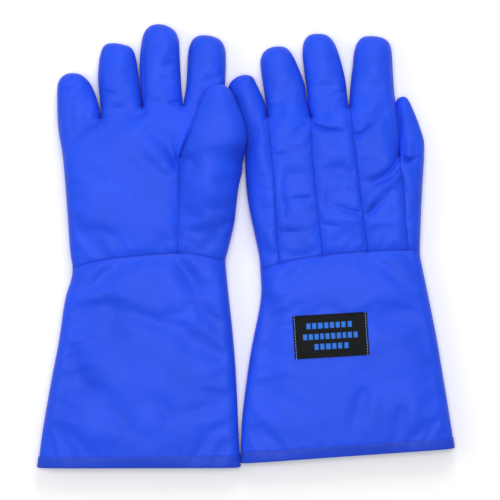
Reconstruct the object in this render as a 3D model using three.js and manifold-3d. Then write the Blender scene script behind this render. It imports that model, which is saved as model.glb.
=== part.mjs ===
// A pair of cryogenic gloves with long gauntlet cuffs, lying flat on a table.
// The right-hand glove lies palm up, its thumb across the base of its index finger.
// The left-hand glove lies back up, with a woven label on the back of its cuff.
// Millimetres: +X across the pair, +Y towards the fingertips, +Z up from the table.

import * as THREE from "three";
import { LoftGeometry } from "three/addons/geometries/LoftGeometry.js";
import { mergeVertices } from "three/addons/utils/BufferGeometryUtils.js";
import Module from "manifold-3d";

const wasm = await Module();
wasm.setup();

// ---------- driving dimensions ----------

// Each layer of the wall lies between two depths below the glove's outer surface.
const SHELL = [0, 1];
const INSULATION = [1.35, 3.4];
const LINING = [3.75, 4.6];
const LAYERS = { shell: SHELL, insulation: INSULATION, lining: LINING };

const SECTION_POWER = 2.6; // superellipse power of every cross-section
const DIGIT_POINTS = 8; // points round a digit
const BODY_POINTS = 12; // points round a hand or a cuff
const TIP_ANGLES = [45, 80]; // degrees round the quarter circle of a fingertip
const SETTLE = 0.18; // share of a section's lower half that the table flattens

const HINGE_GAP = 0.4; // half the slot between two solids at a joint
const PIECE_GAP = 0.35; // between two pieces sewn edge to edge
const SIDE_SEAM_Z = 11.5; // height of the seam between the palm side and the back side
const PIVOT_SHARE = 0.66; // height of a folding joint, as a share of the wall's height there
const WRIST_RANGE = 60; // degrees, for a cuff folding up at the wrist
const SPARE_ANGLE = 1.5; // degrees left between two bodies at the end of a joint's range

const LABEL = { x: 75.6, y: -78.6, wide: 66, high: 38, turn: 3.2, lift: 0.4, thick: 0.5 };
const STITCH = { wide: 1.6, inset: 3, lift: 1.2, thick: 0.35 };

const FAR = 300; // further out than any part of the pair
const TALL = 90; // above the pair
const UNDER = -10; // below the table
const STRIP_TOP = 160; // y above the roots of the fingers
const STRIP_BOTTOM = -40; // y below the wrist
const CUTTER_OVERRUN = 3; // how far a cutter runs on past an open end
const MERGE = 0.1; // how far two regions that are to join run into each other
const FINGER_CLEARANCE = -0.6; // a negative depth: a form a little larger than the glove's
const WELD = 1e-4; // points nearer than this are one point

// A station is one cross-section: y, left x, right x, bottom z, top z, height of the left
// edge, height of the right edge, and the slope of the section in plan.
// The palm-up glove for the right hand.
const RIGHT = {
  side: "right",
  palmUp: true,
  pad: [
    [-32, -153.5, -17.5, 0, 24.5, 11, 10],
    [-11, -153.5, -18, 0, 25, 11, 10],
    [35, -157.3, -15, 0, 27, 12, 9],
    [75, -160.8, -16, 0, 25, 12, 8],
    [113, -165.6, -18.5, 0, 22, 11, 8],
  ],
  thumbRoot: [
    [-16, -60, -17.5, 6, 25, 14, 13],
    [20, -60, -10.3, 8, 32, 18, 16],
    [50, -60, -6.4, 12, 40, 26, 24],
    [82, -55.3, -1.6, 24, 46, 35, 34],
  ],
  gauntlet: [
    [12, -155.5, -16.5, 0, 25, 11, 10],
    [-11, -153.5, -18, 0, 25, 11, 10],
    [-42, -157.5, -15.2, 0, 24, 11, 10],
    [-154, -177.3, -8, 0, 21, 10, 10],
    [-186, -182.2, -6.6, 0, 20, 10, 10],
  ],
  hem: [
    [-186.35, -182.4, -6.4, 0, 20.4, 10, 10],
    [-195.3, -183.8, -6.2, 0, 20.4, 10, 10],
  ],
  wristY: -11,
  wristTop: 25,
  digits: {
    little: {
      hinge: 126,
      range: 60,
      tip: [-151.5, 152.2, 11],
      stations: [
        [100, -163.5, -128.8, 0, 23, 11, 11],
        [127, -165.6, -131.4, 0, 23, 11, 11],
        [138, -164.9, -135.2, 0, 23, 11, 11],
      ],
    },
    ring: {
      hinge: 132,
      range: 60,
      tip: [-114.5, 178.4, 12],
      stations: [
        [102, -128, -91.8, 0, 24, 11, 11],
        [133, -128.2, -94.2, 0, 25, 12, 12],
        [160, -129.4, -97, 0, 25, 12, 12],
      ],
    },
    middle: {
      hinge: 136,
      range: 60,
      tip: [-76, 195.63, 12],
      stations: [
        [102, -91.6, -56, 0, 24, 11, 11],
        [122, -90.8, -56.6, 0, 24.5, 11, 11],
        [140, -92.3, -57.6, 0, 25, 12, 12],
        [174, -92.5, -59.4, 0, 25, 12, 12],
      ],
    },
    index: {
      hinge: 143,
      range: 60,
      tip: [-35.5, 185.2, 12],
      stations: [
        [102, -55, -19, 0, 22, 10, 9],
        [124, -54.2, -18.8, 0, 22, 10, 9],
        [143, -52, -18, 0, 24, 12, 12],
        [168, -50.8, -18, 0, 25, 12, 12],
      ],
    },
    thumb: {
      hinge: 76,
      range: 60,
      tip: [-25, 140.8, 35],
      stations: [
        [58, -59, -4.8, 15, 42.5, 29, 28],
        [76, -57.5, -2.6, 24, 46, 35, 34],
        [97, -50.3, 0.4, 24.5, 46.6, 35, 34],
        [118, -43, -4.8, 25, 46.6, 35, 34],
      ],
    },
  },
  // Seams of the back, from the finger crotches to the wrist: little/ring, ring/middle and
  // middle/index.
  seams: [
    [[-130.6, 145], [-128.2, 114], [-125.5, 60], [-123, -30]],
    [[-93.3, 150], [-91.5, 116], [-90, 60], [-91, -30]],
    [[-54.6, 152], [-55.4, 122], [-58, 60], [-61, -30]],
  ],
  // Inner seams of the thumb gusset, from the thumb's joint to the wrist.
  gussetPalm: [[-59.2, 76.3], [-59.2, -30]],
  gussetBack: [[-24, 76.3], [-28, -30]],
  outerX: [-200, 5],
};

// The back-up glove for the left hand.
const LEFT = {
  side: "left",
  palmUp: false,
  pad: [
    [-32, 13, 152.5, 0, 24.5, 11, 11],
    [-11, 11.8, 152.5, 0, 25, 11, 11],
    [25, 4.6, 147, 0, 28, 12, 12],
    [60, 0.2, 140, 0, 29, 12, 14],
    [85, -1.8, 134.2, 0, 28, 12, 15],
    [111, -4.6, 132.6, 0, 25, 11, 13],
  ],
  thumbRoot: [
    [-24, 112, 152.5, 0, 23, 11, 11],
    [10, 114, 153.6, 0, 24, 11, 11],
    [38, 117, 155, 0, 23, 11, 11],
    [66, 128, 156.4, 0, 21.5, 10, 10],
    [82, 135.6, 156.6, 0, 21, 10, 10],
  ],
  gauntlet: [
    [12, 8.8, 150.5, 0, 25, 11, 11],
    [-11, 11.8, 152.5, 0, 25, 11, 11],
    [-38, 14, 159.5, 0, 24, 11, 11, 0.03],
    [-135, -1.4, 177, 0, 21.5, 10, 10, 0.06],
    [-175.6, -4, 182.6, 0, 20.5, 10, 10, 0.065],
  ],
  hem: [
    [-175.95, -4.2, 182.8, 0, 20.9, 10, 10, 0.065],
    [-185.2, -4.4, 183.8, 0, 20.9, 10, 10, 0.07],
  ],
  wristY: -11,
  wristTop: 25,
  digits: {
    little: {
      hinge: 127,
      range: 45,
      tip: [-5, 150.2, 11],
      stations: [
        [98, -3.5, 19.6, 0, 22, 10, 11],
        [127, -9.2, 15, 0, 22, 10, 11],
        [137, -10.8, 10.8, 0, 22, 10, 11],
      ],
    },
    ring: {
      hinge: 131,
      range: 45,
      tip: [27, 175.5, 12],
      stations: [
        [100, 20.4, 55.8, 0, 25, 11, 11],
        [114, 19.6, 54.9, 0, 25, 11, 12],
        [133, 16.8, 51.8, 0, 25, 12, 12],
        [158, 13.2, 44.6, 0, 25, 12, 12],
      ],
    },
    middle: {
      hinge: 135,
      range: 45,
      tip: [64.5, 186.4, 12],
      stations: [
        [102, 57.5, 90.8, 0, 25, 11, 11],
        [116, 56.7, 90.4, 0, 25, 12, 12],
        [136, 54.2, 89.6, 0, 25, 12, 12],
        [166, 50.4, 83, 0, 25, 12, 12],
      ],
    },
    index: {
      hinge: 132,
      range: 45,
      tip: [112, 184.3, 12],
      stations: [
        [100, 92.6, 132.9, 0, 26, 11, 14],
        [115, 92.6, 132.2, 0, 26, 12, 13],
        [140, 93.2, 130, 0, 26, 12, 12],
        [167, 95.2, 128.6, 0, 25, 12, 12],
      ],
    },
    thumb: {
      hinge: 76,
      range: 35,
      sideways: true,
      pivotX: 150,
      tip: [142, 130.9, 10],
      stations: [
        [56, 126, 156, 0, 22, 10, 10],
        [76, 135.6, 156.8, 0, 21, 10, 10],
        [100, 135.6, 154.6, 0, 21, 10, 10],
        [114, 135.6, 150.4, 0, 20.5, 10, 10],
      ],
    },
  },
  seams: [
    [[16.2, 140], [18.9, 112], [24.8, 59], [29.6, -30]],
    [[53, 150], [55.8, 114], [62.6, 31.4], [68, -30]],
    [[91.4, 150], [91.6, 114], [101.8, 31.4], [108.5, -30]],
  ],
  gussetPalm: [[118, 76.3], [116, -30]],
  gussetBack: [[134.6, 76.3], [138.2, 52], [143, -30]],
  outerX: [-25, 175],
};

// Nothing in the pair is metal.
const FINISHES = {
  shell: { color: 0x3a5ef0, roughness: 0.55 },
  hem: { color: 0x2a47c6, roughness: 0.65 },
  insulation: { color: 0xe8e6df, roughness: 0.95 },
  lining: { color: 0xd9dde6, roughness: 0.95 },
  label: { color: 0x1e232e, roughness: 0.8 },
  thread: { color: 0x6d9ad6, roughness: 0.7 },
};

// ---------- solids ----------

// The closed solid of a geometry whose faces already close up.
function solidOf(geometry) {
  const bare = new THREE.BufferGeometry().copy(geometry);
  for (const name of ["normal", "uv"]) bare.deleteAttribute(name);
  const merged = mergeVertices(bare, WELD);
  const index = Array.from(merged.index.array);
  const kept = [];
  for (let i = 0; i < index.length; i += 3) {
    const [a, b, c] = index.slice(i, i + 3);
    if (a !== b && b !== c && a !== c) kept.push(a, b, c);
  }
  const make = (order) =>
    new wasm.Manifold(
      new wasm.Mesh({
        numProp: 3,
        vertProperties: new Float32Array(merged.attributes.position.array),
        triVerts: new Uint32Array(order),
      }),
    );
  const made = make(kept);
  return made.volume() > 0 ? made : make(kept.reverse());
}

function geometryOf(solid) {
  const mesh = solid.getMesh();
  const geometry = new THREE.BufferGeometry();
  geometry.setAttribute("position", new THREE.BufferAttribute(mesh.vertProperties, 3));
  geometry.setIndex(new THREE.BufferAttribute(mesh.triVerts, 1));
  geometry.computeVertexNormals();
  return geometry;
}

const union = (solids) => solids.reduce((sum, solid) => sum.add(solid));

// The largest of a solid's bodies: a cut can leave slivers beside it.
function largest(solid) {
  return solid.decompose().reduce((a, b) => (a.volume() > b.volume() ? a : b));
}

// One cross-section as a ring of points, sunk by depth below the outer surface.
function ring(station, depth, count) {
  const [y, left, right, bottom, top, leftZ, rightZ, slope = 0] = station;
  const centre = (left + right) / 2;
  const half = (right - left) / 2 - depth;
  const low = bottom + depth;
  const rounded = (v) => Math.sign(v) * Math.abs(v) ** (2 / SECTION_POWER);
  return Array.from({ length: count }, (_, i) => {
    const angle = (i / count) * 2 * Math.PI;
    const across = rounded(Math.cos(angle));
    const up = rounded(Math.sin(angle));
    const x = centre + half * across;
    const edge = leftZ + (rightZ - leftZ) * (0.5 + across / 2);
    const rise = up > 0 ? top - depth - edge : (edge - low) * (1 + SETTLE);
    return new THREE.Vector3(x, y + slope * (x - centre), Math.max(low, edge + rise * up));
  });
}

// The solid through a row of rings. Each end closes on its ring's middle.
function loft(rings) {
  const middle = (points) => {
    const sum = points.reduce((total, p) => total.add(p), new THREE.Vector3());
    return sum.divideScalar(points.length);
  };
  const ends = [rings[0], rings.at(-1)].map((points) => {
    const point = middle(points);
    return points.map(() => point.clone());
  });
  return solidOf(new LoftGeometry([ends[0], ...rings, ends[1]]));
}

// A closed sleeve through stations. A cutter has an overrun, which carries both ends on.
function sleeve(stations, depth, count, overrun = 0) {
  const rings = stations.map((station) => ring(station, depth, count));
  if (!overrun) return loft(rings);
  const along = Math.sign(stations.at(-1)[0] - stations[0][0]) * overrun;
  const moved = (points, by) => points.map((p) => new THREE.Vector3(p.x, p.y + by, p.z));
  return loft([moved(rings[0], -along), ...rings, moved(rings.at(-1), along)]);
}

// A digit: a sleeve that ends in a round tip.
function digit({ stations, tip }, depth) {
  const [tipX, tipY, tipZ] = tip;
  const last = stations.at(-1);
  const rings = stations.map((station) => ring(station, depth, DIGIT_POINTS));
  const length = tipY - depth - last[0];
  for (const degrees of TIP_ANGLES) {
    const angle = THREE.MathUtils.degToRad(degrees);
    const along = Math.sin(angle);
    const size = Math.cos(angle);
    const centre = (last[1] + last[2]) / 2;
    const shift = (tipX - centre) * along;
    rings.push(
      ring(last, depth, DIGIT_POINTS).map(
        (p) =>
          new THREE.Vector3(
            centre + shift + (p.x - centre) * size,
            last[0] + length * along,
            tipZ + (p.z - tipZ) * size,
          ),
      ),
    );
  }
  return loft(rings);
}

// A prism from an outline in the Y-Z plane, between two x values.
function prismAcross(outline, fromX, toX) {
  const shape = new THREE.Shape(outline.map(([y, z]) => new THREE.Vector2(y, z)));
  const geometry = new THREE.ExtrudeGeometry(shape, {
    depth: toX - fromX,
    bevelEnabled: false,
  });
  const axes = new THREE.Matrix4().makeBasis(
    new THREE.Vector3(0, 1, 0),
    new THREE.Vector3(0, 0, 1),
    new THREE.Vector3(1, 0, 0),
  );
  return solidOf(geometry.applyMatrix4(axes).translate(fromX, 0, 0));
}

// A prism from an outline in plan, between two heights.
function prismUp(outline, fromZ, toZ) {
  const shape = new THREE.Shape(outline.map(([x, y]) => new THREE.Vector2(x, y)));
  const geometry = new THREE.ExtrudeGeometry(shape, {
    depth: toZ - fromZ,
    bevelEnabled: false,
  });
  return solidOf(geometry.translate(0, 0, fromZ));
}

// Everything beyond a folding joint: gap from its plane, leaning away by half the fold's
// range above the pivot, so that the two sides close on each other at the end of the range.
// sense is 1 where the moving body lies towards +Y, and -1 where it lies towards -Y.
function beyondFold(y, pivotZ, range, gap, sense) {
  const lean = Math.tan(THREE.MathUtils.degToRad(range / 2 + SPARE_ANGLE));
  const away = Math.sign(gap) * (TALL - pivotZ) * lean;
  const outline = [
    [y + sense * gap, UNDER],
    [y + sense * FAR, UNDER],
    [y + sense * FAR, TALL],
    [y + sense * (gap + away), TALL],
    [y + sense * gap, pivotZ],
  ];
  return prismAcross(outline, -FAR, FAR);
}

// The same for a joint that swings sideways about an upright axis at x.
function beyondSwing(y, x, range, gap) {
  const lean = Math.tan(THREE.MathUtils.degToRad(range / 2 + SPARE_ANGLE));
  const away = Math.sign(gap) * (FAR - x) * lean;
  const outline = [
    [-FAR, y + gap],
    [x, y + gap],
    [FAR, y + gap + away],
    [FAR, 2 * FAR],
    [-FAR, 2 * FAR],
  ];
  return prismUp(outline, UNDER, TALL);
}

const foldHeight = (bottom, top) => bottom + (top - bottom) * PIVOT_SHARE;

// The height of a digit's wall at its joint, between the two stations on either side of it.
function pivotHeight({ stations, hinge }) {
  const after = stations.findIndex((station) => station[0] >= hinge);
  const [low, high] = [stations[after - 1], stations[after]];
  const share = (hinge - low[0]) / (high[0] - low[0]);
  const at = (column) => low[column] + (high[column] - low[column]) * share;
  return foldHeight(at(3), at(4));
}

function beyondDigitJoint(spec, gap) {
  if (spec.sideways) return beyondSwing(spec.hinge, spec.pivotX, spec.range, gap);
  return beyondFold(spec.hinge, pivotHeight(spec), spec.range, gap, 1);
}

function beyondWrist(glove, gap) {
  const height = foldHeight(0, glove.wristTop);
  return beyondFold(glove.wristY, height, WRIST_RANGE, gap, -1);
}

// ---------- layers of one glove ----------

// The digit's own wall between two depths, beyond its joint.
function digitWall(spec, [outer, inner]) {
  const wall = digit(spec, outer).subtract(digit(spec, inner));
  return largest(wall.intersect(beyondDigitJoint(spec, HINGE_GAP)));
}

// Stations whose last section is drawn back by depth, so that a layer keeps its wall there.
function shortened(stations, depth) {
  const last = [...stations.at(-1)];
  last[0] -= depth;
  return [...stations.slice(0, -1), last];
}

// The hand's outer form at a depth: the pad, the thumb's root and the roots of the digits.
function handForm(glove, depth) {
  return union([
    sleeve(shortened(glove.pad, depth), depth, BODY_POINTS),
    sleeve(glove.thumbRoot, depth, DIGIT_POINTS),
    ...Object.values(glove.digits).map((spec) => digit(spec, depth)),
  ]);
}

function handWall(glove, [outer, inner]) {
  let wall = handForm(glove, outer).subtract(handForm(glove, inner));
  for (const spec of Object.values(glove.digits)) {
    const moving = beyondDigitJoint(spec, -HINGE_GAP);
    wall = wall.subtract(digit(spec, FINGER_CLEARANCE).intersect(moving));
  }
  return largest(wall.subtract(beyondWrist(glove, -HINGE_GAP)));
}

function gauntletWall(glove, [outer, inner]) {
  const wall = sleeve(glove.gauntlet, outer, BODY_POINTS).subtract(
    sleeve(glove.gauntlet, inner, BODY_POINTS, CUTTER_OVERRUN),
  );
  return largest(wall.intersect(beyondWrist(glove, HINGE_GAP)));
}

// ---------- panels of the outer shell ----------

// Plan outline of the strip between two seams, inset by half a gap on each side.
function stripOutline(leftSeam, rightSeam) {
  const inset = PIECE_GAP / 2;
  const left = leftSeam.map(([x, y]) => [x + inset, y]);
  const right = rightSeam.map(([x, y]) => [x - inset, y]);
  return [...left.reverse(), ...right];
}

// The gusset's region on the palm side and on the back side, grown by grow.
function gussetRegion(glove, grow) {
  const outer = glove.outerX[1];
  const outline = (seam) => [
    [seam[0][0] - grow, seam[0][1] + grow],
    ...seam.slice(1).map(([x, y]) => [x - grow, y]),
    [outer, seam.at(-1)[1]],
    [outer, seam[0][1] + grow],
  ];
  const [palmZ, backZ] = glove.palmUp
    ? [[SIDE_SEAM_Z - grow, TALL], [UNDER, SIDE_SEAM_Z + grow + MERGE]]
    : [[UNDER, SIDE_SEAM_Z + grow + MERGE], [SIDE_SEAM_Z - grow, TALL]];
  const palm = prismUp(outline(glove.gussetPalm), ...palmZ);
  return palm.add(prismUp(outline(glove.gussetBack), ...backZ));
}

// The space on the palm side and on the back side of the side seams.
function seamSides({ palmUp }) {
  const everywhere = [
    [-FAR, -FAR],
    [FAR, -FAR],
    [FAR, FAR],
    [-FAR, FAR],
  ];
  const above = prismUp(everywhere, SIDE_SEAM_Z + PIECE_GAP / 2, TALL);
  const below = prismUp(everywhere, UNDER, SIDE_SEAM_Z - PIECE_GAP / 2);
  return palmUp ? [above, below] : [below, above];
}

// Cuts the hand's shell into its palm panel, thumb gusset and four back strips.
function handPanels(glove) {
  const shell = handWall(glove, SHELL);
  const [palmHalf, backHalf] = seamSides(glove);
  const rest = shell.subtract(gussetRegion(glove, PIECE_GAP));
  const back = rest.intersect(backHalf);
  const border = (x) => [[x, STRIP_TOP], [x, STRIP_BOTTOM]];
  const [outerLeft, outerRight] = glove.outerX;
  const borders = [border(outerLeft), ...glove.seams, border(outerRight)];
  const names = ["little", "ring", "middle", "index"];
  const strips = names.map((name, i) => {
    const outline = stripOutline(borders[i], borders[i + 1]);
    return [`back_strip_${name}`, largest(back.intersect(prismUp(outline, UNDER, TALL)))];
  });
  return [
    ["palm_panel", largest(rest.intersect(palmHalf))],
    ["thumb_gusset", largest(shell.intersect(gussetRegion(glove, 0)))],
    ...strips,
  ];
}

// Splits a cuff's shell along its two side seams.
function gauntletPanels(glove) {
  const shell = gauntletWall(glove, SHELL);
  const [palm, back] = seamSides(glove);
  return [
    ["gauntlet_palm_panel", largest(shell.intersect(palm))],
    ["gauntlet_back_panel", largest(shell.intersect(back))],
  ];
}

// The band that binds the cuff's layers together at its mouth.
function hemBand(glove) {
  const depth = LINING[1];
  const band = sleeve(glove.hem, 0, BODY_POINTS);
  return largest(band.subtract(sleeve(glove.hem, depth, BODY_POINTS, CUTTER_OVERRUN)));
}

// ---------- the woven label ----------

// A patch of cloth that follows the cuff's top, lift above it, over a turned rectangle.
function patchOnCuff(lift, thick, offsetX, wide, high) {
  const outside = sleeve(LEFT.gauntlet, -lift - thick, BODY_POINTS);
  const inside = sleeve(LEFT.gauntlet, -lift, BODY_POINTS, CUTTER_OVERRUN);
  const box = new THREE.BoxGeometry(wide, high, TALL);
  box.translate(offsetX, 0, TALL / 2 + SIDE_SEAM_Z);
  box.rotateZ(THREE.MathUtils.degToRad(LABEL.turn));
  box.translate(LABEL.x, LABEL.y, 0);
  return largest(outside.subtract(inside).intersect(solidOf(box)));
}

function labelPieces() {
  const stitchX = LABEL.wide / 2 - STITCH.inset;
  const row = (x) => patchOnCuff(STITCH.lift, STITCH.thick, x, STITCH.wide, LABEL.high);
  return [
    ["woven_label", patchOnCuff(LABEL.lift, LABEL.thick, 0, LABEL.wide, LABEL.high)],
    ["label_stitches_left", row(-stitchX)],
    ["label_stitches_right", row(stitchX)],
  ];
}

// ---------- the pair ----------

function mesh(name, solid, finish) {
  const material = new THREE.MeshStandardMaterial({ ...FINISHES[finish], metalness: 0 });
  const piece = new THREE.Mesh(geometryOf(solid), material);
  piece.name = name;
  return piece;
}

function buildGlove(glove) {
  const group = new THREE.Group();
  const add = (name, solid, finish) => group.add(mesh(`${glove.side}_${name}`, solid, finish));
  for (const [digitName, spec] of Object.entries(glove.digits)) {
    for (const [layerName, depths] of Object.entries(LAYERS)) {
      add(`${digitName}_${layerName}`, digitWall(spec, depths), layerName);
    }
  }
  for (const [name, solid] of handPanels(glove)) add(name, solid, "shell");
  for (const [name, solid] of gauntletPanels(glove)) add(name, solid, "shell");
  for (const layer of ["insulation", "lining"]) {
    add(`hand_${layer}`, handWall(glove, LAYERS[layer]), layer);
    add(`gauntlet_${layer}`, gauntletWall(glove, LAYERS[layer]), layer);
  }
  add("hem_band", hemBand(glove), "hem");
  return group;
}

const pair = new THREE.Group();
pair.add(buildGlove(RIGHT), buildGlove(LEFT));
for (const [name, solid] of labelPieces()) {
  pair.add(mesh(name, solid, name === "woven_label" ? "label" : "thread"));
}

export default pair;
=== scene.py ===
"""A pair of padded cryogenic gloves with gauntlet cuffs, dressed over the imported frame.

The right-hand glove lies palm up and the left-hand glove lies back up. Each glove is one padded skin: a plan
that is cut into small triangles, with an upper and a lower sheet that meet in the side seam. The padding is
swelled by a cloth simulation, then sewn down along the seams and creased. The skin is parted where the glove
bends, and the parts share their normals, so that no join shows.

Lengths are in millimetres until MM turns them into the frame's metres. +X is right, +Y is towards the
fingertips and +Z is up from the table.
"""
import logging
import math
from collections.abc import Sequence
from dataclasses import dataclass, field
from enum import Enum

import bpy
import numpy as np
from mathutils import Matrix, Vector, geometry, kdtree, noise


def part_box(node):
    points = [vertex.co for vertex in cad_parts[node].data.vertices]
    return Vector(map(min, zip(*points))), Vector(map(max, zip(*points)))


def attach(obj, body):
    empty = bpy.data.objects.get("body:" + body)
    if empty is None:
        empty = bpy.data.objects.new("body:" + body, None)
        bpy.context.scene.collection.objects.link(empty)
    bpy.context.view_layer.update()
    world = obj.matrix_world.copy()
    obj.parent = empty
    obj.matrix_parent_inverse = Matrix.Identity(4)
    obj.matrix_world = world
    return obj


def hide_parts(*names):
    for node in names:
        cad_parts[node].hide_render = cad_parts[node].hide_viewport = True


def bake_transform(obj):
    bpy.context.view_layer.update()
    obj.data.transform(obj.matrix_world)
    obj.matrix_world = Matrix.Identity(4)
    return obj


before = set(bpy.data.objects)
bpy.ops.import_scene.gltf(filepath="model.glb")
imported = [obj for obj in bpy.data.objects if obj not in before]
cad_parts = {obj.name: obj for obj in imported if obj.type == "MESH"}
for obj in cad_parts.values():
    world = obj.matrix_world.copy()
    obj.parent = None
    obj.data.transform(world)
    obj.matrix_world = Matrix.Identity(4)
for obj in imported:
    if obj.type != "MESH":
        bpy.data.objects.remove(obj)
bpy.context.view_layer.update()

MM = 0.001
LOG = logging.getLogger("cryogenic_gloves")

Path = tuple[tuple[float, float], ...]

GRID = 2.7  # side of the skin's triangles, away from the seams
EDGE_STEP = 2.2  # step along an outline or a seam
LADDER = (0.45, 1.1, 2.2, 3.8)  # rows of points beside each outline and seam
SIDE_SEAM_Z = 11.5  # height of the seam between the two sheets
TABLE_GAP = 0.2  # the lower sheet's height where it lies on the table
REACH = 7.0  # how far from an edge the padding takes to come to its full height
WALL = 3.9  # shell, insulation and lining together
FOLD_SCALE = 1.6  # how much deeper than given the folds are pressed
SEAM_WIDTH = 0.62  # half the width of a seam's dark line
SHARP_FOLD = 3.8  # folds narrower than this get triangles of their own along them
ROW_CLEARANCE = 0.75  # share of its row's distance that a point keeps from every line
GRID_CLEARANCE = 0.6  # share of the grid that its points keep from the outermost row
ON_LINE = 0.05  # points nearer to a line than this are on it
SHEET_GAP = 0.4  # least distance between the two sheets
TINY = 1e-9  # keeps lengths and areas off zero
CHUNK = 2000  # points measured against a line in one go
SOLVER_ROUNDS = 900  # most steps that the membrane takes to settle
SOLVER_GOAL = 1e-10  # share of the starting error at which it has settled
LINING_BEYOND_WRIST = 16.0  # how far below the wrist seam the lining sleeve ends


# The hem band's cross-section, from inside the cuff round its mouth to its upper edge: a share of the way
# from the mouth to the hem line, and a depth under the cuff's outer skin.
HEM_PROFILE = (
    (1.0, 0.25), (1.0, -0.5), (0.93, -0.75), (0.5, -0.7), (0.1, -0.75), (0.0, -0.45),
    (-0.05, 0.4), (-0.04, 1.6), (0.04, 2.9), (0.2, 3.3), (0.6, 3.4), (1.0, 3.4), (1.02, 2.6),
)


class Sheet(Enum):
    """The sheets of a skin that a seam or a fold marks."""

    UPPER = "upper"
    LOWER = "lower"
    BOTH = "both"


@dataclass(frozen=True)
class Seam:
    """A sewn line.

    Attributes:
        path: its points in plan.
        depth: how far the thread pulls the padding down.
        sheet: the sheet it is sewn in.
        pucker: height of the little gathers beside it.
        shade: how dark the painted shade in its crease is, from 0 to 1.
    """

    path: Path
    depth: float = 2.0
    sheet: Sheet = Sheet.UPPER
    pucker: float = 0.25
    shade: float = 0.85


@dataclass(frozen=True)
class Fold:
    """A crease in the cloth that is deepest where it starts and runs out at its end.

    Attributes:
        path: its points in plan.
        depth: depth of the hollow.
        width: half the width of the hollow.
        shade: how dark the painted shade in its depth is, over what its depth gives, from 0 to 1.
    """

    path: Path
    depth: float
    width: float
    shade: float = 0.0


@dataclass(frozen=True)
class Digit:
    """A finger of the glove's plan.

    Attributes:
        name: little, ring, middle or index.
        outline: from its left root, round its tip, to its right root.
        bend: the Y where it starts and the Y where it ends to turn at its joint; not used.
    """

    name: str
    outline: Path
    bend: tuple[float, float]


@dataclass(frozen=True)
class Thumb:
    """A thumb, which is a padded form of its own that grows from a root line on the hand.

    Attributes:
        outline: from its left root, round its tip, to its right root.
        edges: Y, the left side seam's height and the right side seam's height, from the root up.
        crown: Y and the height of the top.
        belly: Y and the height of the underside.
        bend: plan points where it starts and ends to turn at its joint; not used.
        root_drop: how far under the top the underside starts, or None where it starts from the hand's own.
    """

    outline: Path
    edges: tuple[tuple[float, float, float], ...]
    crown: Path
    belly: Path
    bend: tuple[tuple[float, float], tuple[float, float]]
    root_drop: float | None = None


def smoothstep(t: np.ndarray | float) -> np.ndarray:
    """Returns 0 below 0, 1 above 1 and a smooth rise between."""
    t = np.clip(t, 0.0, 1.0)
    return t * t * (3.0 - 2.0 * t)


def smooth_path(points: Path, step: float) -> np.ndarray:
    """Draws a smooth line through points.

    Args:
        points: the points it passes through.
        step: distance between the points of the result.

    Returns:
        Evenly spaced points, with the first and the last of the given ones at its ends.
    """
    p = np.array(points, float)
    p = np.vstack([2 * p[0] - p[1], p, 2 * p[-1] - p[-2]])
    t = np.linspace(0.0, 1.0, 16, endpoint=False)[:, None]
    dense = []
    for a, b, c, d in zip(p, p[1:], p[2:], p[3:]):
        dense.append(
            b + 0.5 * t * (c - a + t * (2 * a - 5 * b + 4 * c - d + t * (3 * (b - c) + d - a)))
        )
    dense = np.vstack([*dense, p[-2:-1]])
    along = np.concatenate([[0.0], np.cumsum(np.linalg.norm(np.diff(dense, axis=0), axis=1))])
    count = max(2, round(along[-1] / step) + 1)
    even = np.linspace(0.0, along[-1], count)
    return np.column_stack([np.interp(even, along, dense[:, axis]) for axis in (0, 1)])


def nearest_on(points: np.ndarray, line: np.ndarray) -> tuple[np.ndarray, np.ndarray, np.ndarray]:
    """Measures points against a line.

    Args:
        points: plan points.
        line: the line's points in order.

    Returns:
        Each point's distance to the line, how far along the line its nearest point is, and the side
        it is on, as 1 for the left and -1 for the right.
    """
    a, ab = line[:-1], np.diff(line, axis=0)
    length = np.maximum(np.linalg.norm(ab, axis=1), TINY)
    start = np.concatenate([[0.0], np.cumsum(length)[:-1]])
    distance, along, side = (np.empty(len(points)) for _ in range(3))
    for low in range(0, len(points), CHUNK):
        chunk = slice(low, low + CHUNK)
        rel = points[chunk, None, :] - a[None]
        t = np.clip(np.einsum("ijk,jk->ij", rel, ab) / length**2, 0, 1)
        gap = rel - t[..., None] * ab
        far = np.einsum("ijk,ijk->ij", gap, gap)
        best = far.argmin(1)
        row = np.arange(len(best))
        distance[chunk] = np.sqrt(far[row, best])
        along[chunk] = start[best] + t[row, best] * length[best]
        cross = ab[best, 0] * rel[row, best, 1] - ab[best, 1] * rel[row, best, 0]
        side[chunk] = np.where(cross >= 0, 1.0, -1.0)
    return distance, along, side


def inside(points: np.ndarray, polygon: np.ndarray) -> np.ndarray:
    """Returns which points are inside a closed polygon."""
    result = np.zeros(len(points), bool)
    x, y = points[:, 0], points[:, 1]
    for (x0, y0), (x1, y1) in zip(polygon, np.roll(polygon, -1, axis=0)):
        if y0 == y1:
            continue
        crosses = (y0 > y) != (y1 > y)
        result ^= crosses & (x < (x1 - x0) * (y - y0) / (y1 - y0) + x0)
    return result


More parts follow.
